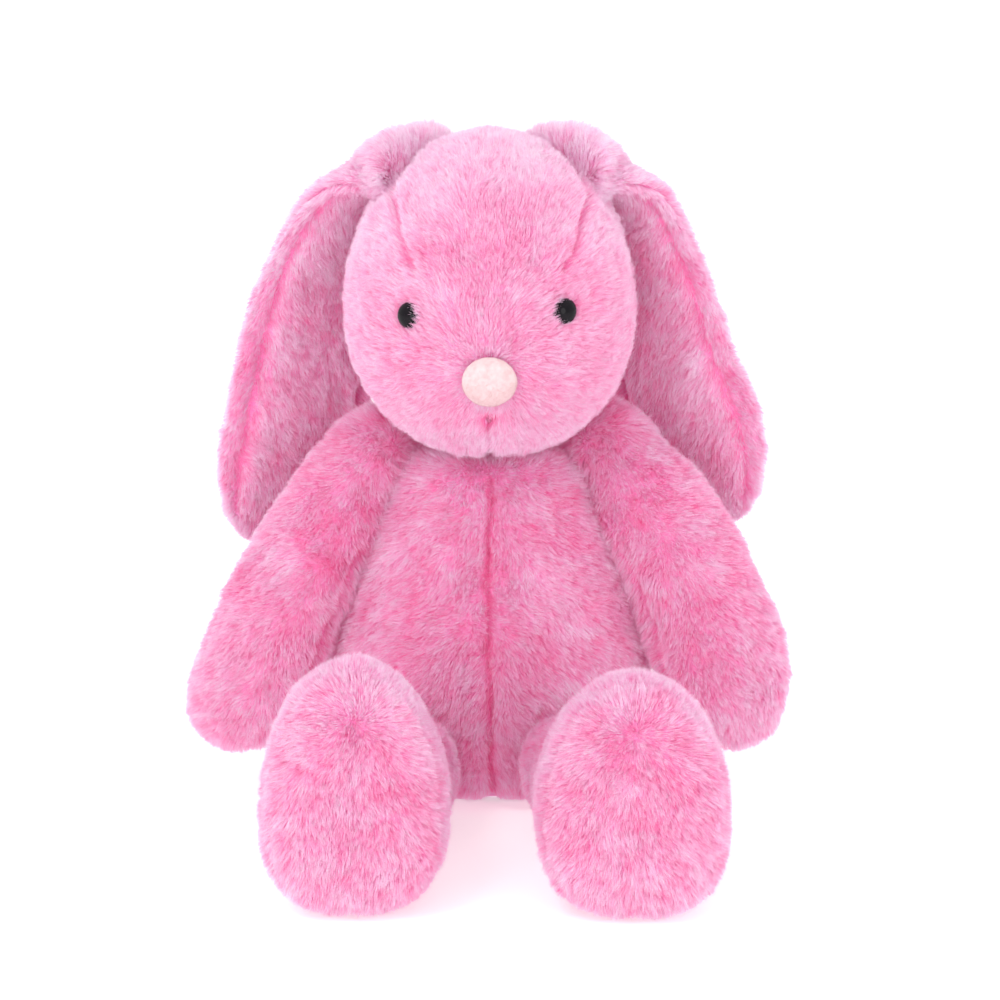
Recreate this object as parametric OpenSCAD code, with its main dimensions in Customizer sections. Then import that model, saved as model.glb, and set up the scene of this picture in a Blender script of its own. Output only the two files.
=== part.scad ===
// Sitting stuffed bunny with long drooping ears: fur panels sewn over stuffing.
// The toy faces -Y and sits on the flat face of its seat panel, at Z = 0.
// "left" and "right" are the toy's own: its left side is at +X.

/* [Body] */
// Width of the torso at its widest
torso_w = 118; // [100:1:130]
// Depth of the torso, belly to back
torso_d = 106; // [90:1:120]
// Thickness of the fur fabric, backing and pile together
fabric_t = 5; // [3:0.5:7]
// Gap between two panels along a seam
seam_gap = 0.5; // [0.3:0.1:1]

/* [Head] */
// Width of the head across the cheeks
head_w = 111; // [100:1:116]
// Depth of the head, face to back
head_d = 112; // [100:1:116]
// Diameter of the dome of each safety eye
eye_d = 10; // [8:0.5:12]
// Diameter of the padded nose
nose_d = 20.5; // [17:0.5:24]

/* [Limbs] */
// Scale of the width of the ears
ear_width = 1; // [0.8:0.05:1.1]
// Scale of the girth of the arms
arm_girth = 1; // [0.85:0.05:1]
// Scale of the girth of the legs
leg_girth = 1; // [0.85:0.05:1]
// Diameter of the round tail
tail_d = 36; // [28:1:44]

/* [Hidden] */

fur = "hotpink";
fill_colour = "white";

// ---------- vectors and smooth tables ----------
function unit(v) = v / norm(v);
function mix(a, b, f) = a * (1 - f) + b * f;
// Catmull-Rom value of a table of vectors at u, from 0 to len - 1
function cr(p, q, r, s, f) =
    0.5 * (2 * q + (r - p) * f + (2 * p - 5 * q + 4 * r - s) * f * f + (3 * q - p - 3 * r + s) * f * f * f);
function at(tbl, u) =
    let (n = len(tbl), i = min(floor(u), n - 2), f = u - i)
    cr(tbl[max(i - 1, 0)], tbl[i], tbl[i + 1], tbl[min(i + 2, n - 1)], f);
// Plain interpolation in a table of [key, value] rows
function tab(t, x) = lookup(x, t);

// ---------- closed solids from grids of points ----------
function quad(a, b, c, d) = [[a, b, c], [a, c, d]];
function flat(l) = [for (a = l) for (b = a) b];

// A slab between an outer and an inner grid of points, open on all four edges
module slab(outer, inner) {
    n = len(outer); m = len(outer[0]); k = n * m;
    o = function (i, j) i * m + j;
    q = function (i, j) k + i * m + j;
    polyhedron(
        points = concat(flat(outer), flat(inner)),
        faces = concat(
            [for (i = [0 : n - 2]) for (j = [0 : m - 2]) for (f = quad(o(i, j), o(i + 1, j), o(i + 1, j + 1), o(i, j + 1))) f],
            [for (i = [0 : n - 2]) for (j = [0 : m - 2]) for (f = quad(q(i, j), q(i, j + 1), q(i + 1, j + 1), q(i + 1, j))) f],
            [for (i = [0 : n - 2]) for (f = quad(o(i + 1, 0), o(i, 0), q(i, 0), q(i + 1, 0))) f],
            [for (i = [0 : n - 2]) for (f = quad(o(i, m - 1), o(i + 1, m - 1), q(i + 1, m - 1), q(i, m - 1))) f],
            [for (j = [0 : m - 2]) for (f = quad(o(0, j), o(0, j + 1), q(0, j + 1), q(0, j))) f],
            [for (j = [0 : m - 2]) for (f = quad(o(n - 1, j + 1), o(n - 1, j), q(n - 1, j), q(n - 1, j + 1))) f]
        ),
        convexity = 6
    );
}

// A solid through closed rings, with a point at each end
module ringed(rings, first, last) {
    n = len(rings); m = len(rings[0]); k = n * m;
    o = function (i, j) i * m + (j % m);
    polyhedron(
        points = concat(flat(rings), [first, last]),
        faces = concat(
            [for (i = [0 : n - 2]) for (j = [0 : m - 1]) for (f = quad(o(i, j), o(i + 1, j), o(i + 1, j + 1), o(i, j + 1))) f],
            [for (j = [0 : m - 1]) [k, o(0, j), o(0, j + 1)]],
            [for (j = [0 : m - 1]) [k + 1, o(n - 1, j + 1), o(n - 1, j)]]
        ),
        convexity = 6
    );
}

// A dished sheet: outer rings spread from a pole, inner rings under them
module dish(outer, pole_o, inner, pole_i) {
    n = len(outer); m = len(outer[0]); k = n * m;
    o = function (i, j) i * m + (j % m);
    q = function (i, j) k + i * m + (j % m);
    polyhedron(
        points = concat(flat(outer), flat(inner), [pole_o, pole_i]),
        faces = concat(
            [for (j = [0 : m - 1]) [2 * k, o(0, j + 1), o(0, j)]],
            [for (j = [0 : m - 1]) [2 * k + 1, q(0, j), q(0, j + 1)]],
            [for (i = [0 : n - 2]) for (j = [0 : m - 1]) for (f = quad(o(i, j), o(i, j + 1), o(i + 1, j + 1), o(i + 1, j))) f],
            [for (i = [0 : n - 2]) for (j = [0 : m - 1]) for (f = quad(q(i, j), q(i + 1, j), q(i + 1, j + 1), q(i, j + 1))) f],
            [for (j = [0 : m - 1]) for (f = quad(o(n - 1, j), o(n - 1, j + 1), q(n - 1, j + 1), q(n - 1, j))) f]
        ),
        convexity = 6
    );
}

// ---------- torso ----------
// Rows of [z, half width, half depth, centre y], from the seat up to the neck
torso_tbl = [
    [0, 38, 33, 0], [3, 45, 39.5, -1], [9, 51, 44.5, -2], [20, 56, 49, -3],
    [35, 58.5, 52.5, -4], [50, 59, 53, -4], [65, 56, 51, -4], [80, 50, 47.5, -3],
    [95, 42, 42, -1], [107, 34, 36, 1], [116, 28, 29, 2], [121, 23, 23, 2]
];
tw = torso_w / 118;
td = torso_d / 106;
function torso_pt(row, a, off) = [(row[1] * tw - off) * cos(a), row[3] + (row[2] * td - off) * sin(a), row[0]];
torso_rows = [for (u = [0 : 1 : 11]) at(torso_tbl, u)];

module torso_panel(a0, a1) {
    w = seam_gap / 2 / 50 * 180 / PI;
    steps = 7;
    as = [for (k = [0 : steps]) mix(a0 + w, a1 - w, k / steps)];
    color(fur) slab(
        [for (r = torso_rows) [for (a = as) torso_pt(r, a, 0)]],
        [for (r = torso_rows) [for (a = as) torso_pt(r, a, fabric_t)]]
    );
}
module torso_front_left() torso_panel(270, 360);
module torso_front_right() torso_panel(180, 270);
module torso_back_left() torso_panel(0, 90);
module torso_back_right() torso_panel(90, 180);

// Flat oval base panel that the toy sits on
module seat_panel() {
    g = fabric_t + 0.5;
    color(fur) linear_extrude(height = fabric_t)
        polygon([for (k = [0 : 47]) [(38 * tw - g) * cos(k * 7.5), (33 * td - g) * sin(k * 7.5)]]);
}

// Polyester filling of the torso, with a low dome in the neck opening
module torso_stuffing() {
    g = fabric_t + 0.4;
    zs = [33, 42, 55, 68, 80, 92, 103, 112, 118];
    rows = [for (z = zs) [z, tab([for (r = torso_tbl) [r[0], r[1]]], z), tab([for (r = torso_tbl) [r[0], r[2]]], z), tab([for (r = torso_tbl) [r[0], r[3]]], z)]];
    body = [for (r = rows) [for (k = [0 : 19]) torso_pt(r, k * 18, g)]];
    neck = [for (r = [[121.5, 17], [125, 12], [127, 6]]) [for (k = [0 : 19]) [r[1] * cos(k * 18), 2 + r[1] * sin(k * 18), r[0]]]];
    color(fill_colour) ringed(concat(body, neck), [0, -3, 32], [0, 2, 127.6]);
}

// Inner cloth bag of plastic pellets that weights the seat: two round sheets
pouch_r = 34;
module pellet_pouch() {
    g = 0.2;
    color("ivory") translate([0, -2, 18]) {
        rotate_extrude($fn = 48) polygon(concat(
            [for (a = [90 : -15 : 0]) [(pouch_r + 1) * cos(a), g / 2 + 11.4 * sin(a)]],
            [for (a = [0 : 15 : 90]) [pouch_r * cos(a), g / 2 + 10.4 * sin(a)]]));
        mirror([0, 0, 1]) rotate_extrude($fn = 48) polygon(concat(
            [for (a = [90 : -15 : 0]) [(pouch_r + 1) * cos(a), g / 2 + 11.4 * sin(a)]],
            [for (a = [0 : 15 : 90]) [pouch_r * cos(a), g / 2 + 10.4 * sin(a)]]));
    }
}
module pellet_fill() color("gainsboro") translate([0, -2, 18])
    rotate_extrude($fn = 48) polygon([for (a = [90 : -15 : -90]) [(pouch_r - 0.6) * cos(a), 9.9 * sin(a)]]);

// Gathering thread around the neck opening
module neck_stitch() color("deeppink") translate([0, 2, 122.2])
    rotate_extrude($fn = 48) translate([20, 0]) circle(r = 0.8, $fn = 16);

// ---------- tail ----------
tail_c = [0, 60.3, 28];
tail_cut = 11;
module tail_cover() color(fur) translate(tail_c) difference() {
    sphere(d = tail_d, $fn = 48);
    sphere(d = tail_d - 2 * fabric_t, $fn = 48);
    translate([0, -30 - tail_cut, 0]) cube([60, 60, 60], center = true);
}
module tail_stuffing() color(fill_colour) translate(tail_c) difference() {
    sphere(d = tail_d - 2 * fabric_t - 0.8, $fn = 48);
    translate([0, -30 - tail_cut, 0]) cube([60, 60, 60], center = true);
}

// ---------- head ----------
head_c = [0, -4, 181];
ha = head_w / 2;
hb = head_d / 2;
head_up = 67;
head_down = 54;
nose_dir = unit([0, -58, -15]);
function clampf(x) = max(-1, min(1, x));
function bump(d, c, w) = exp(-pow(acos(clampf(d * c)) / w, 2));
// Distance from the head's centre to its surface along d
function head_r(d) =
    let (h = norm([d[0] / ha, d[1] / hb]), up = d[2] > 0, v = abs(d[2]) / (up ? head_up : head_down), p = up ? 2.1 : 2.35)
    pow(pow(h, p) + pow(v, p), -1 / p) + 3 * bump(d, nose_dir, 24);
function head_pt(d, off) = head_c + d * (head_r(d) - off);
// Direction from an angle t round the YZ plane, 0 at the face and 90 on top, and an angle b out of it
function dir(t, b) = [sin(b), -cos(b) * cos(t), cos(b) * sin(t)];
// Half width of the gusset, as an angle, from under the nose over the top to the nape
gusset_w = [[-26, 4], [-14, 9], [0, 15], [12, 23], [40, 33], [66, 36], [80, 28], [95, 18], [120, 14], [160, 12], [205, 10], [245, 8]];
gusset_ts = [-24, -15, -6, 4, 14, 25, 36, 47, 58, 69, 80, 92, 104, 117, 131, 146, 161, 176, 191, 206, 221, 232, 243];

module head_gusset() {
    w = seam_gap / 2 / 55 * 180 / PI;
    grid = function (off) [for (t = gusset_ts) [for (k = [0 : 6]) head_pt(dir(t, (tab(gusset_w, t) - w) * (k / 3 - 1)), off)]];
    color(fur) slab(grid(0), grid(fabric_t));
}

// Edge of one face panel: up the gusset seam, down the nape, round the neck, up the chin
neck_half = 22.5;
function neck_dir(a) = [sin(neck_half) * cos(a), sin(neck_half) * sin(a), -cos(neck_half)];
function face_edge(w) = concat(
    [for (t = gusset_ts) dir(t, tab(gusset_w, t) + w)],
    [for (a = [76 : -26 : -80]) neck_dir(a)],
    [for (t = [-58, -46, -35]) dir(t, w)]
);
module face_panel(s) {
    w = seam_gap / 2 / 55 * 180 / PI;
    seam = face_edge(w);
    e = [for (i = [len(seam) - 1 : -1 : 0]) seam[i]];
    pole = unit([1, 0.1, -0.15]);
    rings = function (off) [for (f = [0.2, 0.38, 0.54, 0.69, 0.85, 1]) [for (d = e) head_pt(unit(mix(pole, d, f)), off)]];
    color(fur) scale([s, 1, 1]) dish(rings(0), head_pt(pole, 0), rings(fabric_t), head_pt(pole, fabric_t));
}

// ---------- eyes: domes on stems, held by washers behind the fabric ----------
eye_dir = unit([28, -47.5, 7.5]);
function eye_dir_of(s) = [s * eye_dir[0], eye_dir[1], eye_dir[2]];
// Places its children with +Z along direction d, dist from the head's centre
module on_head(d, dist) translate(head_c + d * dist)
    rotate([0, acos(d[2]), atan2(d[1], d[0])]) children();
eye_r = head_r(eye_dir);
shank_r = 1.6;

module eye(s) color("black") on_head(eye_dir_of(s), eye_r) {
    translate([0, 0, 0.6]) intersection() {
        translate([0, 0, -2.2]) sphere(r = norm([eye_d / 2, 2.2]), $fn = 48);
        cylinder(h = 20, r = eye_d / 2, $fn = 48);
    }
    translate([0, 0, -12]) cylinder(h = 12.8, r = shank_r, $fn = 32);
}
module eye_washer(s) color("white") on_head(eye_dir_of(s), eye_r) translate([0, 0, -fabric_t - 2.6])
    difference() {
        cylinder(h = 1.2, r = 6, $fn = 48);
        translate([0, 0, -1]) cylinder(h = 4, r = shank_r + 0.05, $fn = 32);
    }
module eye_hole(s) on_head(eye_dir_of(s), eye_r) translate([0, 0, -20]) cylinder(h = 40, r = shank_r + 0.1, $fn = 32);
// Room behind the fabric for the washer and stem
module eye_room(s) on_head(eye_dir_of(s), eye_r) translate([0, 0, -13]) cylinder(h = 20, r = 6.6, $fn = 32);

module face_left() difference() { face_panel(1); color(fur) eye_hole(1); }
module face_right() difference() { face_panel(-1); color(fur) eye_hole(-1); }

module head_stuffing() {
    off = fabric_t + 1.2;
    rows = [-62, -50, -35, -20, -5, 10, 25, 40, 55, 70, 82];
    rings = [for (e = rows) [for (k = [0 : 23]) head_pt([cos(e) * cos(k * 15), cos(e) * sin(k * 15), sin(e)], off)]];
    low = [for (k = [0 : 23]) [14 * cos(k * 15), -4 + 14 * sin(k * 15), 136]];
    color(fill_colour) difference() {
        ringed(concat([low], rings), [0, -4, 135], head_pt([0, 0, 1], off));
        eye_room(1);
        eye_room(-1);
    }
}

// Small padded nose of short-pile cloth
nose_r = head_r(nose_dir);
module nose_pad() color("mistyrose") on_head(nose_dir, nose_r) {
    rings = [for (q = [[1, 0.8], [0.99, 2.4], [0.9, 4.2], [0.72, 5.8], [0.45, 6.9]])
        [for (k = [0 : 23]) [0.96 * q[0] * nose_d / 2 * cos(k * 15), q[0] * nose_d / 2 * sin(k * 15), q[1]]]];
    ringed(rings, [0, 0, 0.8], [0, 0, 7.4]);
}
// Short vertical line of thread under the nose
module mouth_stitch() color("palevioletred") {
    ts = [-29, -32, -35, -38];
    for (i = [0 : 2]) hull() {
        translate(head_pt(dir(ts[i], 0), -0.9)) sphere(r = 0.7, $fn = 12);
        translate(head_pt(dir(ts[i + 1], 0), -0.9)) sphere(r = 0.7, $fn = 12);
    }
}

// ---------- lofted limbs ----------
// A row is [x, y, z, half width, half thickness, hint x, hint y, hint z]; the width lies along the hint
function row_c(r) = [r[0], r[1], r[2]];
function row_t(tbl, u) =
    let (h = 0.05, a = at(tbl, max(u - h, 0)), b = at(tbl, min(u + h, len(tbl) - 1)))
    unit(row_c(b) - row_c(a));
function limb_pt(tbl, u, a, off, grow) =
    let (r = at(tbl, u), t = row_t(tbl, u), g = [r[5], r[6], r[7]], w = unit(g - t * (g * t)), n = cross(t, w))
    row_c(r) + w * max(r[3] * grow - off, 0.4) * cos(a) + n * max(r[4] * grow - off, 0.3) * sin(a);
function limb_grid(tbl, us, as, off, grow) = [for (u = us) [for (a = as) limb_pt(tbl, u, a, off, grow)]];
function mirror_tbl(t) = [for (r = t) [-r[0], r[1], r[2], r[3], r[4], -r[5], r[6], r[7]]];
// Half of a limb's cover, from angle a0 to a1
module limb_panel(tbl, us, a0, a1, steps, grow, thick) {
    as = [for (k = [0 : steps]) mix(a0, a1, k / steps)];
    color(fur) slab(limb_grid(tbl, us, as, 0, grow), limb_grid(tbl, us, as, thick, grow));
}

// ---------- ears: two furry sheets sewn along their edge ----------
ear_right_tbl = [
    [-27, 0, 237, 19, 4.5, 0.6, 0.66, 0.46],
    [-34, 3, 239, 19, 5, 0.62, 0.64, 0.45],
    [-43, 8, 236, 19, 6, 0.7, 0.6, 0.35],
    [-53, 13, 222, 20.5, 7, 0.82, 0.54, 0.15],
    [-62.5, 18, 199, 23.5, 7, 0.87, 0.5, 0],
    [-67.5, 22, 175, 27.5, 7, 0.87, 0.5, 0],
    [-71.5, 25, 150, 30, 7, 0.87, 0.5, 0],
    [-77, 27, 125, 30, 7, 0.87, 0.5, 0],
    [-83.5, 26, 105, 25, 6.5, 0.87, 0.5, 0],
    [-89.5, 24, 92, 15, 5, 0.87, 0.5, 0],
    [-93, 23, 86, 5, 2.5, 0.87, 0.5, 0]
];
ear_left_tbl = [
    [27, 0, 237, 19, 4.5, -0.6, 0.66, 0.46],
    [34, 3, 239, 19, 5, -0.62, 0.64, 0.45],
    [43, 8, 236, 19, 6, -0.7, 0.6, 0.35],
    [53, 13, 222, 20, 7, -0.82, 0.54, 0.15],
    [60.5, 18, 200, 22.5, 7, -0.87, 0.5, 0],
    [66, 22, 178, 25.5, 7, -0.87, 0.5, 0],
    [71, 26, 156, 28.5, 7, -0.87, 0.5, 0],
    [78.5, 28, 133, 30, 7, -0.87, 0.5, 0],
    [84.5, 28, 113, 27.5, 6.5, -0.87, 0.5, 0],
    [90.5, 26, 99, 17, 5, -0.87, 0.5, 0],
    [94, 25, 93, 5, 2.5, -0.87, 0.5, 0]
];
function ear_wide(t) = [for (r = t) [r[0], r[1], r[2], r[3] * ear_width, r[4], r[5], r[6], r[7]]];
ear_us = [0, 0.4, 0.8, 1.2, 1.6, 2, 2.5, 3, 4, 5, 6, 7, 8, 8.6, 9.2, 9.7, 10];
// How far a place on the ear is lifted so that its inner face rests just outside the head, on a left ear
function ear_lift(tbl, u, a) =
    let (v = limb_pt(tbl, u, a < 180 ? 360 - a : a, 0, 1) - head_c, d = unit(v))
    d * max(0, head_r(d) + 1.2 - norm(v));
function ear_face(tbl, u, a) = limb_pt(tbl, u, a, 0, 1) + ear_lift(tbl, u, a);
function ear_mid(tbl, u, a) =
    let (r = at(tbl, u), t = row_t(tbl, u), g = [r[5], r[6], r[7]], w = unit(g - t * (g * t)), n = cross(t, w))
    row_c(r) + w * (r[3] * cos(a)) + n * (sin(a) > 0 ? 0.3 : -0.3) + ear_lift(tbl, u, a);
// One furry sheet of an ear: it covers the angles from a0 to a1 and stops at the middle of the ear's thickness
module ear_sheet(tbl, a0, a1) {
    t = ear_wide(tbl);
    as = [for (k = [0 : 6]) mix(a0, a1, k / 6)];
    color(fur) slab(
        [for (u = ear_us) [for (a = as) ear_face(t, u, a)]],
        [for (u = ear_us) [for (a = as) ear_mid(t, u, a)]]
    );
}
module ear_back_left() ear_sheet(ear_left_tbl, 8, 172);
module ear_front_left() ear_sheet(ear_left_tbl, 188, 352);
module ear_back_right() mirror([1, 0, 0]) ear_sheet(mirror_tbl(ear_right_tbl), 8, 172);
module ear_front_right() mirror([1, 0, 0]) ear_sheet(mirror_tbl(ear_right_tbl), 188, 352);

// ---------- arms ----------
arm_right_tbl = [
    [-38, 5, 128, 10, 7, 0.85, -0.35, 0],
    [-41, 3, 127, 15.5, 12, 0.85, -0.4, 0],
    [-48, 0, 120, 18.5, 15, 0.85, -0.45, 0],
    [-57, -5, 107, 20.5, 16.5, 0.85, -0.5, 0],
    [-67, -11, 91, 22, 17.5, 0.85, -0.53, 0],
    [-76, -16, 74, 22.5, 18, 0.85, -0.53, 0],
    [-83.5, -20, 57, 23, 18, 0.85, -0.53, 0],
    [-90, -23, 40, 22.5, 17.5, 0.85, -0.53, 0],
    [-94, -25, 28, 18, 14.5, 0.85, -0.53, 0],
    [-96, -26, 21, 10, 8.5, 0.85, -0.53, 0],
    [-97, -26, 18, 3, 3, 0.85, -0.53, 0]
];
arm_left_tbl = [
    [38, 5, 128, 10, 7, -0.85, -0.35, 0],
    [42, 3, 127, 16, 12.5, -0.85, -0.4, 0],
    [50, 0, 119, 19.5, 15.5, -0.85, -0.45, 0],
    [60, -5, 106, 22.5, 17, -0.85, -0.5, 0],
    [70, -11, 90, 24, 18.5, -0.85, -0.53, 0],
    [78.5, -16, 74, 25, 19, -0.85, -0.53, 0],
    [85, -20, 57, 26, 19.5, -0.85, -0.53, 0],
    [89, -23, 40, 24.5, 19, -0.85, -0.53, 0],
    [91.5, -25, 28, 19, 15.5, -0.85, -0.53, 0],
    [92, -26, 20, 11, 9.5, -0.85, -0.53, 0],
    [92, -26, 17, 3, 3, -0.85, -0.53, 0]
];
arm_us = [0, 0.5, 1, 2, 3, 4, 5, 6, 7, 8, 8.6, 9.3, 10];
// a gap between the two halves of a limb's cover, as an angle
limb_gap = 1;
module arm_inner_left() limb_panel(arm_left_tbl, arm_us, limb_gap, 180 - limb_gap, 8, arm_girth, fabric_t);
module arm_outer_left() limb_panel(arm_left_tbl, arm_us, 180 + limb_gap, 360 - limb_gap, 8, arm_girth, fabric_t);
module arm_inner_right() mirror([1, 0, 0]) limb_panel(mirror_tbl(arm_right_tbl), arm_us, limb_gap, 180 - limb_gap, 8, arm_girth, fabric_t);
module arm_outer_right() mirror([1, 0, 0]) limb_panel(mirror_tbl(arm_right_tbl), arm_us, 180 + limb_gap, 360 - limb_gap, 8, arm_girth, fabric_t);
// Filling inside a limb's cover, over the rows given by us
module limb_stuffing(tbl, us, grow) {
    as = [for (k = [0 : 15]) k * 22.5];
    c0 = row_c(at(tbl, us[0]));
    c1 = row_c(at(tbl, us[len(us) - 1]));
    t0 = row_t(tbl, us[0]);
    t1 = row_t(tbl, us[len(us) - 1]);
    color(fill_colour) ringed(limb_grid(tbl, us, as, fabric_t + 0.4, grow), c0 - t0 * 0.5, c1 + t1 * 0.5);
}
module arm_stuffing_left() limb_stuffing(arm_left_tbl, [1, 2, 3, 4, 5, 6, 7, 8], arm_girth);
module arm_stuffing_right() limb_stuffing(arm_right_tbl, [1, 2, 3, 4, 5, 6, 7, 8], arm_girth);

// ---------- legs: a tube that ends in an upright foot ----------
// A row is [y, centre x, centre z, half width, half height, egg]
leg_right_tbl = [
    [-55, -31, 25, 14, 13, 0],
    [-61, -32, 25, 19.5, 19.5, 0],
    [-73, -33.5, 25, 22, 22.5, 0],
    [-90, -36, 26, 22.5, 23.5, 0],
    [-105, -39, 30, 25, 27, 0.05],
    [-118, -42, 36.5, 28.5, 34.5, 0.1],
    [-129, -44, 42.5, 31, 41.5, 0.13],
    [-140, -45, 45, 32.5, 44.5, 0.13],
    [-150, -45.5, 45, 32, 44.5, 0.13],
    [-156, -45.5, 45, 28, 40.5, 0.13]
];
leg_left_tbl = [
    [-55, 31, 25, 14, 13, 0],
    [-61, 32, 25, 19.5, 19.5, 0],
    [-73, 34, 25, 22, 22.5, 0],
    [-90, 37.5, 26, 22.5, 23.5, 0],
    [-106, 41, 29, 25, 26.5, 0.05],
    [-119, 44, 34, 29, 32.5, 0.08],
    [-131, 46, 39.5, 32, 38.5, 0.1],
    [-142, 47.5, 42.5, 34, 42, 0.1],
    [-153, 48, 42.5, 33.5, 42, 0.1],
    [-159, 48, 42.5, 29.5, 38, 0.1]
];
// The foot stands on its lower edge, which is eased flat onto the floor
function leg_pt(tbl, u, a, off) =
    let (r = at(tbl, u), g = leg_girth, w = r[3] * g - off, h = r[4] * g - off,
         x = w * cos(a) * (1 - r[5] * sin(a)), z = r[2] + h * sin(a))
    [r[1] + x, r[0], max(z, 0.6 + off)];
function leg_grid(tbl, us, as, off) = [for (u = us) [for (a = as) leg_pt(tbl, u, a, off)]];
leg_us = [0, 1, 2, 3, 4, 5, 6, 7, 8];
module leg_panel(tbl, a0, a1) {
    as = [for (k = [0 : 10]) mix(a0, a1, k / 10)];
    color(fur) slab(
        [for (u = leg_us) [for (a = as) leg_pt(tbl, u, a, 0)]],
        [for (u = leg_us) [for (a = as) leg_pt(tbl, u, a, fabric_t)]]
    );
}
module leg_outer_left() leg_panel(leg_left_tbl, -89, 89);
module leg_inner_left() leg_panel(leg_left_tbl, 91, 269);
module leg_outer_right() leg_panel(leg_right_tbl, 91, 269);
module leg_inner_right() leg_panel(leg_right_tbl, -89, 89);
// Gently domed oval sole that closes the foot
module sole(tbl) {
    as = [for (k = [0 : 23]) k * 15];
    c = at(tbl, 8);
    q = [[0.35, 9.4], [0.65, 8.4], [0.86, 6.2], [0.97, 3.2], [0.995, 0.5]];
    qi = [[0.33, 5], [0.6, 4.3], [0.78, 3], [0.87, 1.6], [0.9, 0.5]];
    oval = function (f, out) [for (a = as) let (p = leg_pt(tbl, 8, a, 0)) [mix(c[1], p[0], f), c[0] - out, mix(c[2], p[2], f)]];
    color(fur) dish(
        [for (e = q) oval(e[0], e[1])], [c[1], c[0] - 9.8, c[2]],
        [for (e = qi) oval(e[0], e[1])], [c[1], c[0] - 5.3, c[2]]
    );
}
module sole_left() sole(leg_left_tbl);
module sole_right() sole(leg_right_tbl);
module leg_stuffing(tbl) {
    as = [for (k = [0 : 17]) k * 20];
    us = [1, 2, 3, 4, 5, 6, 7];
    c0 = at(tbl, 1);
    c1 = at(tbl, 7);
    color(fill_colour) ringed(leg_grid(tbl, us, as, fabric_t + 0.5), [c0[1], c0[0] + 0.5, c0[2]], [c1[1], c1[0] - 4, c1[2]]);
}
module leg_stuffing_left() leg_stuffing(leg_left_tbl);
module leg_stuffing_right() leg_stuffing(leg_right_tbl);

// ---------- output ----------
torso_front_left();
torso_front_right();
torso_back_left();
torso_back_right();
seat_panel();
torso_stuffing();
pellet_pouch();
pellet_fill();
neck_stitch();
tail_cover();
tail_stuffing();
head_gusset();
face_left();
face_right();
head_stuffing();
nose_pad();
mouth_stitch();
eye(1);  // eye_left
eye(-1);  // eye_right
eye_washer(1);  // eye_washer_left
eye_washer(-1);  // eye_washer_right
ear_back_left();
ear_front_left();
ear_back_right();
ear_front_right();
arm_outer_left();
arm_inner_left();
arm_stuffing_left();
arm_outer_right();
arm_inner_right();
arm_stuffing_right();
leg_outer_left();
leg_inner_left();
sole_left();
leg_stuffing_left();
leg_outer_right();
leg_inner_right();
sole_right();
leg_stuffing_right();
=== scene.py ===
"""Sitting plush bunny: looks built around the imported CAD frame. Lengths below are in millimetres until a mesh is made."""

import math

import bpy
import numpy as np
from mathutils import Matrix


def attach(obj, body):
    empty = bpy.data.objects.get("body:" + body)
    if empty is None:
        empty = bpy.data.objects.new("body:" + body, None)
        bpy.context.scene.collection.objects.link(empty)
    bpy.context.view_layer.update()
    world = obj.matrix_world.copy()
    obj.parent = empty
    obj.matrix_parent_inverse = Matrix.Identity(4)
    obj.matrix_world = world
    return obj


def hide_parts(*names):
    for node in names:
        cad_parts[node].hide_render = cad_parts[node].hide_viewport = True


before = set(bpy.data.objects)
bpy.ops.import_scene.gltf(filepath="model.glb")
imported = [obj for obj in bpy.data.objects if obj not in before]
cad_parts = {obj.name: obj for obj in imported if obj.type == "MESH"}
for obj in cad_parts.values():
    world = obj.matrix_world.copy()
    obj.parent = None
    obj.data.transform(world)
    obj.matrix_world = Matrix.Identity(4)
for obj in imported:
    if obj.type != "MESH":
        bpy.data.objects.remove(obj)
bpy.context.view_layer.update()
MM = 0.001


# ------------------------------------------------------------------ numbers
def unit(v):
    v = np.asarray(v, float)
    return v / np.maximum(np.linalg.norm(v, axis=-1, keepdims=True), 1e-9)


def at(tbl, u):
    """Catmull-Rom through the rows of tbl."""
    tbl = np.asarray(tbl, float)
    n = len(tbl)
    u = np.clip(np.asarray(u, float), 0, n - 1)
    i = np.minimum(np.floor(u).astype(int), n - 2)
    f = (u - i)[..., None]
    p, q, r, s = tbl[np.maximum(i - 1, 0)], tbl[i], tbl[i + 1], tbl[np.minimum(i + 2, n - 1)]
    return 0.5 * (2 * q + (r - p) * f + (2 * p - 5 * q + 4 * r - s) * f**2 + (3 * q - p - 3 * r + s) * f**3)


def tab(rows, x):
    rows = np.asarray(rows, float)
    return np.interp(x, rows[:, 0], rows[:, 1])


def hashed(c, seed):
    """Repeatable numbers from 0 to 1, three for each row of whole numbers."""
    c = c.astype(np.int64)
    h = (c[..., 0] * 73856093) ^ (c[..., 1] * 19349663) ^ (c[..., 2] * 83492791) ^ (seed * 2654435761)
    out = []
    for k in range(3):
        x = (h + k * 1013904223) & 0xFFFFFFFF
        x = ((x ^ (x >> 16)) * 0x45D9F3B) & 0xFFFFFFFF
        x = ((x ^ (x >> 16)) * 0x45D9F3B) & 0xFFFFFFFF
        x = x ^ (x >> 16)
        out.append(x / 4294967296.0)
    return np.stack(out, -1)


def noise3(p, seed, k=0):
    """Smooth value noise, about -1 to 1, over a lattice of step 1."""
    p = np.asarray(p, float)
    i = np.floor(p).astype(np.int64)
    f = p - i
    f = f * f * (3 - 2 * f)
    total = 0
    for dx in (0, 1):
        for dy in (0, 1):
            for dz in (0, 1):
                w = np.where(dx, f[..., 0], 1 - f[..., 0]) * np.where(dy, f[..., 1], 1 - f[..., 1]) * np.where(dz, f[..., 2], 1 - f[..., 2])
                total = total + w * hashed(i + np.array([dx, dy, dz]), seed)[..., k]
    return total * 2 - 1


def noise_vec(p, seed):
    return np.stack([noise3(p, seed, k) for k in range(3)], -1)


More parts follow.
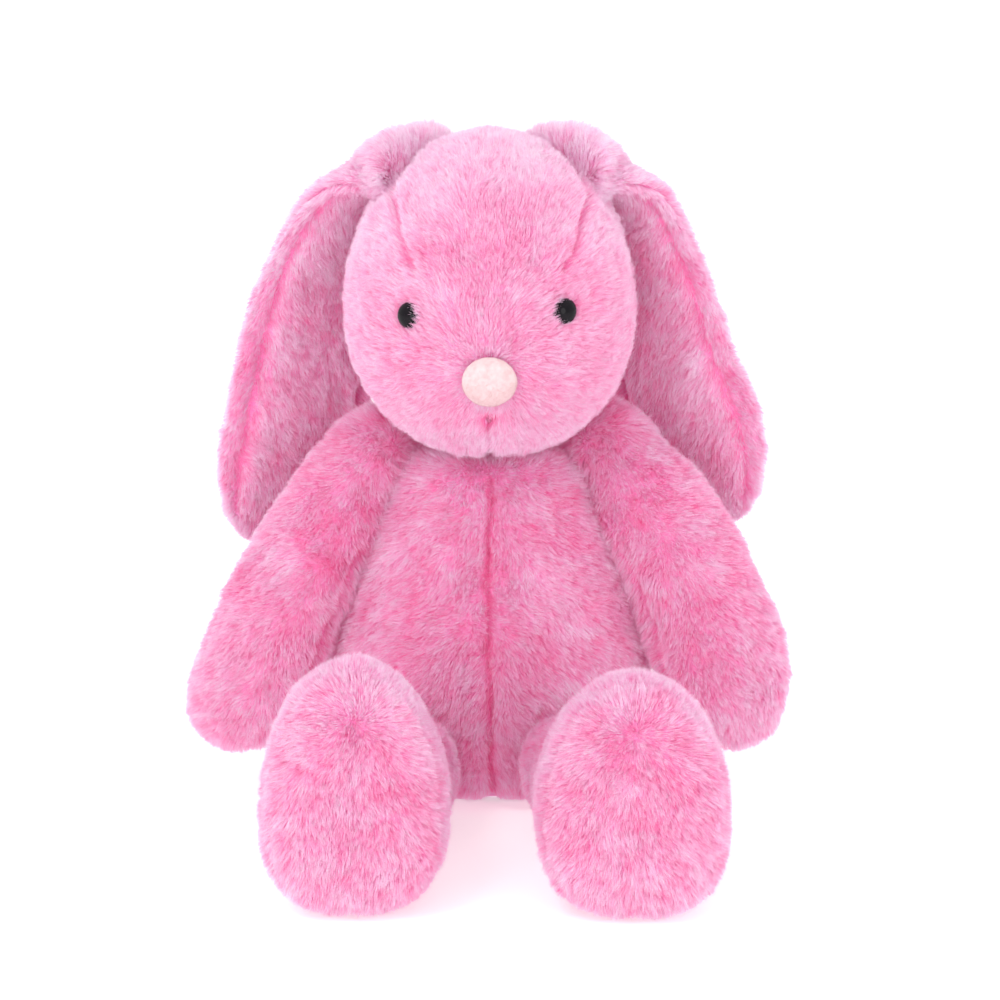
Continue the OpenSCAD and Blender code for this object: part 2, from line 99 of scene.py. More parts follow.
def cells(p, size, seed):
    """The nearest scattered point to each p, in millimetres, and three random numbers of that point."""
    q = p / size
    i = np.floor(q).astype(np.int64)
    best = np.full(len(p), 1e9)
    centre = np.zeros_like(p)
    rnd = np.zeros_like(p)
    for dx in (-1, 0, 1):
        for dy in (-1, 0, 1):
            for dz in (-1, 0, 1):
                c = i + np.array([dx, dy, dz])
                pt = c + hashed(c, seed)
                d = ((pt - q) ** 2).sum(1)
                m = d < best
                best[m] = d[m]
                centre[m] = pt[m] * size
                rnd[m] = hashed(c[m], seed + 17)
    return centre, rnd


# ------------------------------------------------------------------ shape tables, the same body as the CAD
TORSO = [
    [0, 38, 33, 0], [3, 45, 39.5, -1], [9, 51, 44.5, -2], [20, 56, 49, -3],
    [35, 58.5, 52.5, -4], [50, 59, 53, -4], [65, 56.5, 51, -4], [80, 51.5, 47.5, -3],
    [95, 46, 42.5, -1], [107, 41, 38.5, 0], [116, 38, 34.5, 1], [122, 34.5, 31, 0.5], [128, 28.5, 25.5, -1], [130.3, 21.5, 20, -2], [131.6, 14, 13, -2.5],
]
HEAD_C = np.array([0.0, -4.0, 181.0])
HA, HB, UP, DOWN = 53.6, 56.0, 67.0, 54.0
NOSE_DIR = unit([0, -58, -15])
EYE_DIR = unit([28, -47.5, 7.5])
EAR_R = [
    [-21, -3.5, 230, 17, 2.5, 0.6, 0.66, 0.46],
    [-27, -0.7, 234, 19, 7.2, 0.6, 0.66, 0.46],
    [-33, 2.2, 234.3, 19.5, 8.2, 0.62, 0.64, 0.45],
    [-41.5, 7.3, 230.8, 19.3, 7.9, 0.7, 0.6, 0.35],
    [-52, 12.4, 219.6, 20.6, 7.6, 0.82, 0.54, 0.15],
    [-61.5, 18, 198, 23.5, 7, 0.87, 0.5, 0],
    [-66.7, 22, 175, 28.2, 7, 0.87, 0.5, 0],
    [-70.0, 25, 150, 31.3, 7, 0.87, 0.5, 0],
    [-77, 27, 125, 30, 7, 0.87, 0.5, 0],
    [-83.5, 26, 105, 25, 6.5, 0.87, 0.5, 0],
    [-89.5, 24, 92, 15, 5, 0.87, 0.5, 0],
    [-93, 23, 86, 3, 1.5, 0.87, 0.5, 0],
]
EAR_L = [
    [21, -3.5, 230, 17, 2.5, -0.6, 0.66, 0.46],
    [27, -0.7, 234, 19, 7.2, -0.6, 0.66, 0.46],
    [32.2, 2.2, 234.3, 19.5, 8.2, -0.62, 0.64, 0.45],
    [40.3, 7.3, 230.8, 19.3, 7.9, -0.7, 0.6, 0.35],
    [51.2, 12.4, 219.6, 20.3, 7.6, -0.82, 0.54, 0.15],
    [58.5, 18, 199, 22.2, 7, -0.87, 0.5, 0],
    [64, 22, 178, 25.7, 7, -0.87, 0.5, 0],
    [68.3, 26, 156, 29.5, 7, -0.87, 0.5, 0],
    [76, 28, 133, 31, 7, -0.87, 0.5, 0],
    [83, 28, 113, 27.5, 6.5, -0.87, 0.5, 0],
    [90.5, 26, 99, 17, 5, -0.87, 0.5, 0],
    [94, 25, 93, 3, 1.5, -0.87, 0.5, 0],
]
ARM_R = [
    [-25, 6, 128.5, 2, 2, 0.85, -0.35, 0],
    [-35, 4.5, 129, 14.5, 12, 0.85, -0.35, 0],
    [-42, 3, 127, 17, 14, 0.85, -0.4, 0],
    [-48, 0, 120, 18.5, 15, 0.85, -0.45, 0],
    [-57, -5, 107, 20.5, 16.5, 0.85, -0.5, 0],
    [-67, -11, 91, 22, 17.5, 0.85, -0.53, 0],
    [-76, -16, 74, 22.5, 18, 0.85, -0.53, 0],
    [-83.5, -20, 57, 23, 18, 0.85, -0.53, 0],
    [-91, -23, 40, 23, 17.5, 0.85, -0.53, 0],
    [-95, -25, 29.5, 19.5, 15, 0.85, -0.53, 0],
    [-97, -26, 22.5, 12, 9.5, 0.85, -0.53, 0],
    [-97.5, -26, 19.5, 2.5, 2, 0.85, -0.53, 0],
]
ARM_L = [
    [25, 6, 128.5, 2, 2, -0.85, -0.35, 0],
    [35, 4.5, 130, 15, 12, -0.85, -0.35, 0],
    [43, 3, 128, 18, 14.5, -0.85, -0.4, 0],
    [50, 0, 119, 19.5, 15.5, -0.85, -0.45, 0],
    [61, -5, 106, 23, 17, -0.85, -0.5, 0],
    [71, -11, 90, 24.5, 18.5, -0.85, -0.53, 0],
    [78.5, -16, 74, 25, 19, -0.85, -0.53, 0],
    [85, -20, 57, 26, 19.5, -0.85, -0.53, 0],
    [89, -23, 40, 24.5, 19, -0.85, -0.53, 0],
    [91, -25, 30, 19, 15.5, -0.85, -0.53, 0],
    [91.5, -26, 22.5, 11, 9.5, -0.85, -0.53, 0],
    [91.5, -26, 20, 2, 2, -0.85, -0.53, 0],
]
LEG_R = [
    [-50, -30, 25, 8, 8, 0],
    [-55, -31, 25, 15, 14.5, 0],
    [-61, -32, 25, 19.5, 19.5, 0],
    [-73, -33.5, 25, 22, 22.5, 0],
    [-90, -36, 26, 22.5, 23.5, 0],
    [-105, -39, 30, 25, 27, 0.05],
    [-118, -42.3, 36.5, 27.2, 34.5, 0.1],
    [-129, -44.5, 42, 29.5, 41.0, 0.12],
    [-140, -45.6, 44.3, 31.1, 43.8, 0.12],
    [-150, -46.1, 44.3, 30.8, 43.8, 0.12],
    [-156, -46.1, 44.3, 27.2, 39.8, 0.12],
]
LEG_L = [
    [-50, 30, 25, 8, 8, 0],
    [-55, 31, 25, 15, 14.5, 0],
    [-61, 32, 25, 19.5, 19.5, 0],
    [-73, 34, 25, 22, 22.5, 0],
    [-90, 37.5, 26, 22.5, 23.5, 0],
    [-106, 41, 29, 25, 26.5, 0.05],
    [-119, 44.5, 34, 27.6, 32.5, 0.08],
    [-131, 47, 39.5, 30.2, 38.5, 0.1],
    [-142, 48.6, 42.2, 32.1, 41.7, 0.1],
    [-153, 49.1, 42.2, 31.6, 41.7, 0.1],
    [-159, 49.1, 42.2, 27.6, 37.7, 0.1],
]
GUSSET = [[-38, 0.15], [-26, 4], [-14, 9], [0, 15], [12, 23], [40, 33], [66, 36], [80, 28], [95, 18], [120, 14], [160, 12], [205, 10], [245, 8]]


def bump(d, c, w):
    return np.exp(-((np.degrees(np.arccos(np.clip(d @ c, -1, 1))) / w) ** 2))


def head_r(d):
    h = np.hypot(d[..., 0] / HA, d[..., 1] / HB)
    up = d[..., 2] > 0
    v = np.abs(d[..., 2]) / np.where(up, UP, DOWN)
    p = np.where(up, 2.08, 2.12)
    return (h**p + v**p) ** (-1 / p) + 3 * bump(d, NOSE_DIR, 24)


def head_pt(d, off=0.0):
    d = unit(d)
    return HEAD_C + d * (head_r(d) - off)[..., None]


def torso_grid(us, angs):
    r = at(TORSO, us)
    a = np.radians(angs)
    x = r[:, None, 1] * np.cos(a)[None]
    y = r[:, None, 3] + r[:, None, 2] * np.sin(a)[None]
    z = np.repeat(r[:, 0][:, None], len(a), 1)
    return np.stack([x, y, z], -1)


def limb_frame(tbl, us):
    r = at(tbl, us)
    t = unit(at(tbl, us + 0.05)[:, :3] - at(tbl, us - 0.05)[:, :3])
    g = r[:, 5:8]
    w = unit(g - t * (g * t).sum(1, keepdims=True))
    return r, t, w, np.cross(t, w)


def limb_grid(tbl, us, angs, power=1.0):
    r, t, w, n = limb_frame(tbl, us)
    a = np.radians(angs)
    c, s = np.cos(a), np.sin(a)
    c, s = np.sign(c) * np.abs(c) ** power, np.sign(s) * np.abs(s) ** power
    return (
        r[:, None, :3]
        + w[:, None] * np.maximum(r[:, 3], 0.3)[:, None, None] * c[None, :, None]
        + n[:, None] * np.maximum(r[:, 4], 0.3)[:, None, None] * s[None, :, None]
    )


def unfold(g, t, gap=0.05):
    """Rings in a tight bend don't pass through each other: every line of the grid moves on along the limb."""
    g = g.copy()
    for i in range(len(g) - 2, -1, -1):
        d = ((g[i] - g[i + 1]) * t[i + 1]).sum(-1)
        g[i] -= t[i + 1] * np.maximum(0, d + gap)[:, None]
    return g


def oval(a, k):
    """Ellipse whose lower half grows squarer with k."""
    c, s = np.cos(a), np.sin(a)
    q = 1 - 0.2 * k * np.clip(-s * 3, 0, 1)
    return np.sign(c) * np.abs(c) ** q, np.sign(s) * np.abs(s) ** q


def leg_grid(tbl, us, angs):
    r = at(tbl, us)
    k = np.clip((us - 5.5) / 2.5, 0, 1)[:, None]
    c, s = oval(np.radians(angs)[None], k)
    x = r[:, None, 1] + np.maximum(r[:, 3], 0.3)[:, None] * c * (1 - r[:, None, 5] * s)
    z = r[:, None, 2] + np.maximum(r[:, 4], 0.3)[:, None] * s
    y = r[:, None, 0] + 2.2 * k * s
    return np.stack([x, y, z], -1)


# ------------------------------------------------------------------ grids to skins
class Patch:
    """A grid of points on the pile's outer surface, with normals, comb directions and the distance to the nearest seam."""

    def __init__(self, p, comb, seams=(1, 1, 1, 1), flip=False, closed=False):
        self.p = p
        self.closed = closed
        du = np.gradient(p, axis=0)
        dv = (np.roll(p, -1, 1) - np.roll(p, 1, 1)) / 2 if closed else np.gradient(p, axis=1)
        n = np.cross(dv, du)
        self.n = unit(n) * (-1 if flip else 1)
        # a ring that shrinks to a point keeps its neighbour's normals
        small = np.linalg.norm(n, axis=-1) < 1e-6
        if small.any():
            self.n[small] = np.roll(self.n, 1, 0)[small]
        c = comb(p, self.n) if callable(comb) else comb
        c = c - self.n * (c * self.n).sum(-1, keepdims=True)
        self.c = unit(c)
        su = np.concatenate([np.zeros((1, p.shape[1])), np.cumsum(np.linalg.norm(np.diff(p, axis=0), axis=-1), 0)], 0)
        sv = np.concatenate([np.zeros((p.shape[0], 1)), np.cumsum(np.linalg.norm(np.diff(p, axis=1), axis=-1), 1)], 1)
        d = np.full(p.shape[:2], 99.0)
        if seams[0]:
            d = np.minimum(d, su)
        if seams[1]:
            d = np.minimum(d, su[-1:] - su)
        if seams[2]:
            d = np.minimum(d, sv)
        if seams[3]:
            d = np.minimum(d, sv[:, -1:] - sv)
        self.seam = d
        self.edge_u = su
        self.len = np.ones(p.shape[:2])
        self.up = np.zeros(p.shape[:2])
        # tone: painted light and shade added to the fibres' shade value
        self.tone = np.zeros(p.shape[:2])
        self.shell = np.full(p.shape[:2], 99.0)
        self.dens = np.ones(p.shape[:2])
        self.deep = 2.6 + 0 * d
        self.floor = 0.3
        self.seed = 1
        self.groove = 2.4


def skin_depth(s):
    """How far inside the pile's outer surface the modelled pile mass lies: seams pull in, tufts stand out."""
    q = s.p - s.c * (s.p * s.c).sum(-1, keepdims=True) * 0.72
    tuft = noise3(q / 1.7, 11 + s.seed)
    big = noise3(s.p / 11.0, 23 + s.seed)
    mid = noise3(q / 4.2, 31 + s.seed)
    return s.deep + s.groove * np.exp(-((s.seam / 2.2) ** 2)) - 0.55 * tuft - 0.5 * mid - 0.7 * big, tuft * 0.5 + mid * 0.35 + 0.15 * big


def new_mesh(name, verts, faces, attr=None):
    me = bpy.data.meshes.new(name)
    me.from_pydata((np.asarray(verts) * MM).tolist(), [], faces)
    me.validate()
    me.polygons.foreach_set("use_smooth", [True] * len(me.polygons))
    if attr:
        for k, v in attr.items():
            a = me.attributes.new(k, "FLOAT", "POINT")
            a.data.foreach_set("value", np.asarray(v, dtype=np.float32))
    me.update()
    o = bpy.data.objects.new(name, me)
    bpy.context.scene.collection.objects.link(o)
    return o


def skin(name, s, thick=3.2, stride=4):
    """Closed shell: the tufted outer face, a plain inner face thick below it, and the cut edges between."""
    depth, tuft = skin_depth(s)
    outer = s.p - s.n * depth[..., None]
    outer[..., 2] = np.maximum(outer[..., 2], s.floor)
    s.base = outer
    s.tuft = tuft
    n, m = outer.shape[:2]
    ii = list(range(0, n, stride))
    jj = list(range(0, m, stride))
    inner = (s.p - s.n * (s.deep + np.minimum(thick, s.shell))[..., None])[np.ix_(ii, jj)]
    inner[..., 2] = np.maximum(inner[..., 2], s.floor + 1.5)
    ni, mi = len(ii), len(jj)
    k0 = n * m
    verts = np.concatenate([outer.reshape(-1, 3), inner.reshape(-1, 3)])
    o = lambda i, j: i * m + j
    q = lambda i, j: k0 + i * mi + j
    faces = []
    for i in range(n - 1):
        for j in range(m - 1):
            faces.append((o(i, j), o(i, j + 1), o(i + 1, j + 1), o(i + 1, j)))
    for i in range(ni - 1):
        for j in range(mi - 1):
            faces.append((q(i, j), q(i + 1, j), q(i + 1, j + 1), q(i, j + 1)))

    def strip(fine, coarse, turn):
        for a in range(len(coarse) - 1):
            f = fine[a * stride : (a + 1) * stride + 1]
            h = len(f) // 2
            for k in range(len(f) - 1):
                c = coarse[a] if k < h else coarse[a + 1]
                faces.append((f[k], f[k + 1], c) if turn else (f[k + 1], f[k], c))
            faces.append((f[h], coarse[a + 1], coarse[a]) if turn else (f[h], coarse[a], coarse[a + 1]))

    strip([o(0, j) for j in range(m)], [q(0, j) for j in range(mi)], False)
    strip([o(n - 1, j) for j in range(m)], [q(ni - 1, j) for j in range(mi)], True)
    strip([o(i, 0) for i in range(n)], [q(i, 0) for i in range(ni)], True)
    strip([o(i, m - 1) for i in range(n)], [q(i, mi - 1) for i in range(ni)], False)
    if s_flip(s):
        faces = [tuple(reversed(f)) for f in faces]
    # the tuft and seam values drive the painted shade of the pile's material
    t = np.concatenate([tuft.reshape(-1), np.zeros(ni * mi)])
    sm = np.concatenate([np.exp(-((s.seam / 2.6) ** 2)).reshape(-1), np.zeros(ni * mi)])
    return new_mesh(name, verts, faces, {"tuft": t, "seam": sm})


def s_flip(s):
    i, j = s.p.shape[0] // 2, s.p.shape[1] // 2
    du = s.p[i + 1, j] - s.p[i, j]
    dv = s.p[i, j + 1] - s.p[i, j]
    return float(np.dot(np.cross(dv, du), s.n[i, j])) < 0


# ------------------------------------------------------------------ materials
def nodes_of(name):
    m = bpy.data.materials.new(name)
    m.use_nodes = True
    nt = m.node_tree
    nt.nodes.clear()
    return m, nt, nt.nodes, nt.links


def mixed(nt, fac, a, b):
    mx = nt.nodes.new("ShaderNodeMix")
    mx.data_type = "RGBA"
    mx.inputs["Factor"].default_value = 0.5
    if fac is not None:
        nt.links.new(fac, mx.inputs["Factor"])
    for sock, val in (("A", a), ("B", b)):
        s = [i for i in mx.inputs if i.name == sock and i.type == "RGBA"][0]
        if hasattr(val, "is_output") or hasattr(val, "links"):
            nt.links.new(val, s)
        else:
            s.default_value = (*val, 1)
    return [x for x in mx.outputs if x.type == "RGBA"][0]


def ramped(nt, src, lo, hi):
    r = nt.nodes.new("ShaderNodeMapRange")
    r.inputs["From Min"].default_value = lo
    r.inputs["From Max"].default_value = hi
    nt.links.new(src, r.inputs["Value"])
    return r.outputs["Result"]


def noise_node(nt, scale, detail=3.0, rough=0.55):
    tc = nt.nodes.new("ShaderNodeTexCoord")
    n = nt.nodes.new("ShaderNodeTexNoise")
    n.inputs["Scale"].default_value = scale
    n.inputs["Detail"].default_value = detail
    n.inputs["Roughness"].default_value = rough
    nt.links.new(tc.outputs["Object"], n.inputs["Vector"])
    return n.outputs["Fac"]


def cloth_material(name, dark, mid, light, sheen=0.35, rough=0.85, bump=0.25, fine=1400.0):
    m, nt, nd, ln = nodes_of(name)
    out = nd.new("ShaderNodeOutputMaterial")
    b = nd.new("ShaderNodeBsdfPrincipled")
    b.inputs["Roughness"].default_value = rough
    b.inputs["Sheen Weight"].default_value = sheen
    b.inputs["Sheen Roughness"].default_value = 0.5
    b.inputs["Specular IOR Level"].default_value = 0.2
    ln.new(b.outputs["BSDF"], out.inputs["Surface"])
    # Painted shade: darker where the tuft value is low; on the pile and the stuffing these are the hollows between
    # tufts and lumps, on other pieces a random tone.
    at_ = nd.new("ShaderNodeAttribute")
    at_.attribute_name = "tuft"
    t = ramped(nt, at_.outputs["Fac"], -0.55, 0.55)
    c = mixed(nt, t, dark, mid)
    n1 = ramped(nt, noise_node(nt, 420.0, 4.0, 0.7), 0.35, 0.7)
    c = mixed(nt, n1, c, light)
    # Painted shade in the seam grooves: darker near seams.
    se = nd.new("ShaderNodeAttribute")
    se.attribute_name = "seam"
    c = mixed(nt, ramped(nt, se.outputs["Fac"], 0.2, 1.3), c, dark)
    ln.new(c, b.inputs["Base Color"])
    bp = nd.new("ShaderNodeBump")
    bp.inputs["Strength"].default_value = bump
    bp.inputs["Distance"].default_value = 0.0006
    ln.new(noise_node(nt, fine, 3.0, 0.6), bp.inputs["Height"])
    ln.new(bp.outputs["Normal"], b.inputs["Normal"])
    return m


def hair_material(name, root, tip, pale, deep, glow=None):
    m, nt, nd, ln = nodes_of(name)
    out = nd.new("ShaderNodeOutputMaterial")
    hi = nd.new("ShaderNodeHairInfo")
    sh = nd.new("ShaderNodeAttribute")
    sh.attribute_name = "shade"
    # Painted shade: each fibre darker towards its root, where the pile shades itself.
    c = mixed(nt, ramped(nt, hi.outputs["Intercept"], 0.15, 0.95), root, tip)
    # Painted light and shade from the shade value: paler above about 0.5, deeper below.
    c = mixed(nt, ramped(nt, sh.outputs["Fac"], 0.50, 1.15), c, pale)
    c = mixed(nt, ramped(nt, sh.outputs["Fac"], 0.52, -0.45), c, deep)
    c = mixed(nt, ramped(nt, hi.outputs["Random"], 0.55, 1.9), c, pale)
    b = nd.new("ShaderNodeBsdfPrincipled")
    b.inputs["Roughness"].default_value = 0.62
    b.inputs["Specular IOR Level"].default_value = 0.12
    b.inputs["Sheen Weight"].default_value = 0.08
    # Painted glow: the fibres emit faintly in their own colour.
    b.inputs["Emission Strength"].default_value = 0.035
    ln.new(c, b.inputs["Base Color"])
    if glow:
        # painted glow: the fibres emit pink light, standing in for light scattered inside the dyed pile
        b.inputs["Emission Color"].default_value = (*glow, 1)
        b.inputs["Emission Strength"].default_value = 0.06
    else:
        ln.new(c, b.inputs["Emission Color"])
    tr = nd.new("ShaderNodeBsdfTranslucent")
    ln.new(c, tr.inputs["Color"])
    mx = nd.new("ShaderNodeMixShader")
    mx.inputs["Fac"].default_value = 0.28
    ln.new(b.outputs["BSDF"], mx.inputs[1])
    ln.new(tr.outputs["BSDF"], mx.inputs[2])
    ln.new(mx.outputs["Shader"], out.inputs["Surface"])
    return m


# Pile colours: PINK_DARK is painted shade for hollows and seams; in the fibres the root and deep colours are painted
# shade, the pale colour painted light and random tone, and glow a painted glow.
PINK_DARK, PINK_MID, PINK_LIGHT = (0.94, 0.22, 0.50), (0.97, 0.36, 0.67), (0.985, 0.48, 0.79)
fur_skin = cloth_material("fur_pile", PINK_DARK, PINK_MID, PINK_LIGHT)
fur_hair = hair_material("fur_fibres", (0.945, 0.30, 0.61), (0.925, 0.76, 0.91), (0.93, 0.87, 0.94), (0.945, 0.165, 0.46), glow=(1.0, 0.16, 0.42))
nose_skin = cloth_material("nose_velour", (0.71, 0.50, 0.52), (0.765, 0.58, 0.59), (0.795, 0.63, 0.635), sheen=0.3, bump=0.2, fine=3000.0)
nose_hair = hair_material("nose_fibres", (0.75, 0.54, 0.56), (0.775, 0.595, 0.605), (0.795, 0.63, 0.635), (0.73, 0.50, 0.53))
fill_mat = cloth_material("polyester_fibre", (0.55, 0.55, 0.54), (0.85, 0.85, 0.84), (0.95, 0.95, 0.94))
pouch_mat = cloth_material("calico", (0.6, 0.56, 0.46), (0.82, 0.78, 0.69), (0.9, 0.87, 0.8), fine=2500.0)
thread_mat = cloth_material("sewing_thread", (0.42, 0.06, 0.17), (0.68, 0.18, 0.36), (0.8, 0.3, 0.48), fine=4000.0)


def plastic(name, base, second, rough, scale):
    m, nt, nd, ln = nodes_of(name)
    out = nd.new("ShaderNodeOutputMaterial")
    b = nd.new("ShaderNodeBsdfPrincipled")
    b.inputs["Roughness"].default_value = rough
    b.inputs["Specular IOR Level"].default_value = 0.16 if rough < 0.2 else 0.5
    ln.new(mixed(nt, ramped(nt, noise_node(nt, scale), 0.3, 0.7), base, second), b.inputs["Base Color"])
    rr = nd.new("ShaderNodeMapRange")
    rr.inputs["To Min"].default_value = rough * 0.8
    rr.inputs["To Max"].default_value = rough * 1.3
    ln.new(noise_node(nt, scale * 3), rr.inputs["Value"])
    ln.new(rr.outputs["Result"], b.inputs["Roughness"])
    ln.new(b.outputs["BSDF"], out.inputs["Surface"])
    return m


eye_mat = plastic("eye_plastic", (0.003, 0.002, 0.004), (0.008, 0.005, 0.008), 0.05, 300.0)
washer_mat = plastic("washer_plastic", (0.75, 0.75, 0.73), (0.84, 0.84, 0.82), 0.45, 200.0)
pellet_mat = plastic("pellet_plastic", (0.80, 0.81, 0.80), (0.88, 0.89, 0.88), 0.35, 150.0)


# ------------------------------------------------------------------ fibres
rng = np.random.default_rng(20)
fur_store = {}


def roots(s, density):
    """Scattered points of a patch's modelled surface, with their normals, comb directions and lengths."""
    p, n, c = s.base, s.n, s.c
    if s.closed:
        wrap = lambda a: np.concatenate([a, a[:, :1]], 1)
        p, n, c = wrap(p), wrap(n), wrap(c)
        ln, de, se, up, to = wrap(s.len), wrap(s.dens), wrap(s.seam), wrap(s.up), wrap(s.tone)
    else:
        ln, de, se, up, to = s.len, s.dens, s.seam, s.up, s.tone
    e1, e2 = p[1:, :-1] - p[:-1, :-1], p[:-1, 1:] - p[:-1, :-1]
    e3, e4 = p[1:, 1:] - p[1:, :-1], p[1:, 1:] - p[:-1, 1:]
    area = 0.5 * (np.linalg.norm(np.cross(e1, e2), axis=-1) + np.linalg.norm(np.cross(e3, e4), axis=-1))
    w = (area * (de[:-1, :-1] + de[1:, 1:]) / 2).reshape(-1)
    count = int(w.sum() * density)
    cum = np.cumsum(w)
    pick = np.searchsorted(cum, rng.random(count) * cum[-1])
    i, j = np.divmod(np.minimum(pick, len(w) - 1), area.shape[1])
    a, b = rng.random((2, count))

    def lerp(g):
        g00, g10, g01, g11 = g[i, j], g[i + 1, j], g[i, j + 1], g[i + 1, j + 1]
        aa, bb = (a, b) if g.ndim == 2 else (a[:, None], b[:, None])
        return (g00 * (1 - aa) + g10 * aa) * (1 - bb) + (g01 * (1 - aa) + g11 * aa) * bb

    return lerp(p), unit(lerp(n)), unit(lerp(c)), lerp(ln), lerp(se), lerp(up), lerp(to)


def grow(body, s, density=8.5, length=4.9, lift0=12.0, lift1=50.0, radius=0.052, clump=(0.9, 2.6), pull=(0.42, 0.14), stray=0.05, keep_out=(), store=None, seam_short=0.45, points=4, low=0.25, seam_tone=0.4, vary=0.85):
    """Adds fibres of a patch to a body's fur."""
    p, n, c, ln, se, up, tone = roots(s, density)
    for centre, r, narrow in keep_out:
        m = np.linalg.norm((p - np.asarray(centre)) * np.array([narrow, 1, 1]), axis=1) > r
        p, n, c, ln, se, up, tone = p[m], n[m], c[m], ln[m], se[m], up[m], tone[m]
    k = len(p)
    along = p - c * (p * c).sum(1, keepdims=True) * 0.5
    c1, r1 = cells(p, clump[0], 41 + s.seed)
    c2, r2 = cells(p, clump[1], 57 + s.seed)
    patch = noise3(p / 15.0, 83 + s.seed) + 0.5 * noise3(p / 6.5, 84 + s.seed)
    lean = noise_vec(p / 15.0, 71 + s.seed) * 0.7 + noise_vec(p / 5.5, 72 + s.seed) * 0.5 + (r2 - 0.5) * 0.4 + (r1 - 0.5) * 0.45 + rng.normal(0, 0.16, (k, 3))
    loose = rng.random(k) < stray
    lean[loose] += rng.normal(0, 0.5, (int(loose.sum()), 3))
    c = unit(c + lean - n * (lean * n).sum(1, keepdims=True))
    size = length * ln * (0.86 + 0.18 * r2[:, 0] + 0.12 * r1[:, 1]) * rng.uniform(0.84, 1.08, k)
    size *= 1 - seam_short * np.exp(-((se / 1.4) ** 2))
    part = np.exp(-((noise3(along / 2.1, 91 + s.seed) / 0.09) ** 2)) * np.clip(0.6 + noise3(p / 5.0, 92 + s.seed), 0, 1)
    size *= 1 - 0.18 * part
    stand = 1 - 0.55 * up
    l0 = np.radians(np.clip(lift0 + 12 * (r2[:, 1] - 0.5) + 14 * (r1[:, 2] - 0.5) + 9 * patch, 0, 80) * stand)
    l1 = np.radians(np.clip(lift1 + 18 * (r2[:, 2] - 0.5) + 14 * (r1[:, 0] - 0.5) + 16 * patch - 14 * loose, 0, 88) * stand)
    t1 = c1 - p
    t1 -= n * (t1 * n).sum(1, keepdims=True)
    t2 = c2 - p
    t2 -= n * (t2 * n).sum(1, keepdims=True)
    pts = np.zeros((k, points, 3), np.float32)
    pos = p - n * 0.7
    pts[:, 0] = pos
    for a in range(1, points):
        f = (a - 0.5) / (points - 1)
        th = l0 + (l1 - l0) * f
        pos = pos + (n * np.cos(th)[:, None] + c * np.sin(th)[:, None]) * (size / (points - 1))[:, None]
        g = a / (points - 1)
        pts[:, a] = pos + t1 * (pull[0] * g**1.5) * np.where(loose, 0.3, 1)[:, None] + t2 * (pull[1] * g**1.8)
    pts[..., 2] = np.maximum(pts[..., 2], low)
    taper = np.array([1.0, 0.9, 0.62, 0.2]) if points == 4 else np.linspace(1, 0.2, points)
    rad = (radius * rng.uniform(0.8, 1.15, k))[:, None] * taper[None]
    # painted light and shade: pale where the pile lies over, deeper where it stands up or parts, plus the tone set on
    # the patch; random tone per clump and per fibre on top
    shade = 0.5 + tone + 0.13 * patch + vary * (0.14 * noise3(p / 7.0, 93 + s.seed) + 0.3 * noise3(p / 2.6, 85 + s.seed) - 0.65 * (part - 0.12) + 0.7 * (r1[:, 2] - 0.5) + 0.22 * (r2[:, 1] - 0.5)) + rng.normal(0, 0.2, k)
    # painted shade along the seams
    shade -= seam_tone * np.exp(-((se / 1.2) ** 2))
    fur_store.setdefault(store or body, []).append((pts, rad.astype(np.float32), shade.astype(np.float32)))


def build_fur(name, body, mat, key=None):
    got = fur_store.get(key or body)
    if not got:
        return
    pts = np.concatenate([g[0] for g in got])
    rad = np.concatenate([g[1] for g in got])
    shade = np.concatenate([g[2] for g in got])
    k, c = pts.shape[:2]
    cu = bpy.data.hair_curves.new(name)
    cu.add_curves([c] * k)
    cu.attributes["position"].data.foreach_set("vector", (pts * np.float32(MM)).reshape(-1))
    a = cu.attributes.get("radius") or cu.attributes.new("radius", "FLOAT", "POINT")
    a.data.foreach_set("value", (rad * np.float32(MM)).reshape(-1))
    cu.attributes.new("shade", "FLOAT", "CURVE").data.foreach_set("value", shade)
    cu.materials.append(mat)
    o = bpy.data.objects.new(name, cu)
    bpy.context.scene.collection.objects.link(o)
    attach(o, body)
    print(f"fur {name}: {k} fibres")


def cover(name, node, body, s, mat=None, thick=3.2):
    o = skin(name, s, thick)
    o.data.materials.append(mat or fur_skin)
    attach(o, body)
    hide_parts(node)
    return o


def steps(length, size):
    """A number of grid points, one more than a multiple of four."""
    return int(math.ceil(length / size / 4)) * 4 + 1


CELL = 0.85

# ------------------------------------------------------------------ torso
def torso_comb(p, n):
    side = np.tanh(p[..., 0] / 14.0)
    d = np.zeros_like(p)
    d[..., 0] = 0.75 * side
    d[..., 2] = -1.0
    d[..., 1] = 0.25 * np.where(p[..., 1] > 0, 1, -1)
    return d


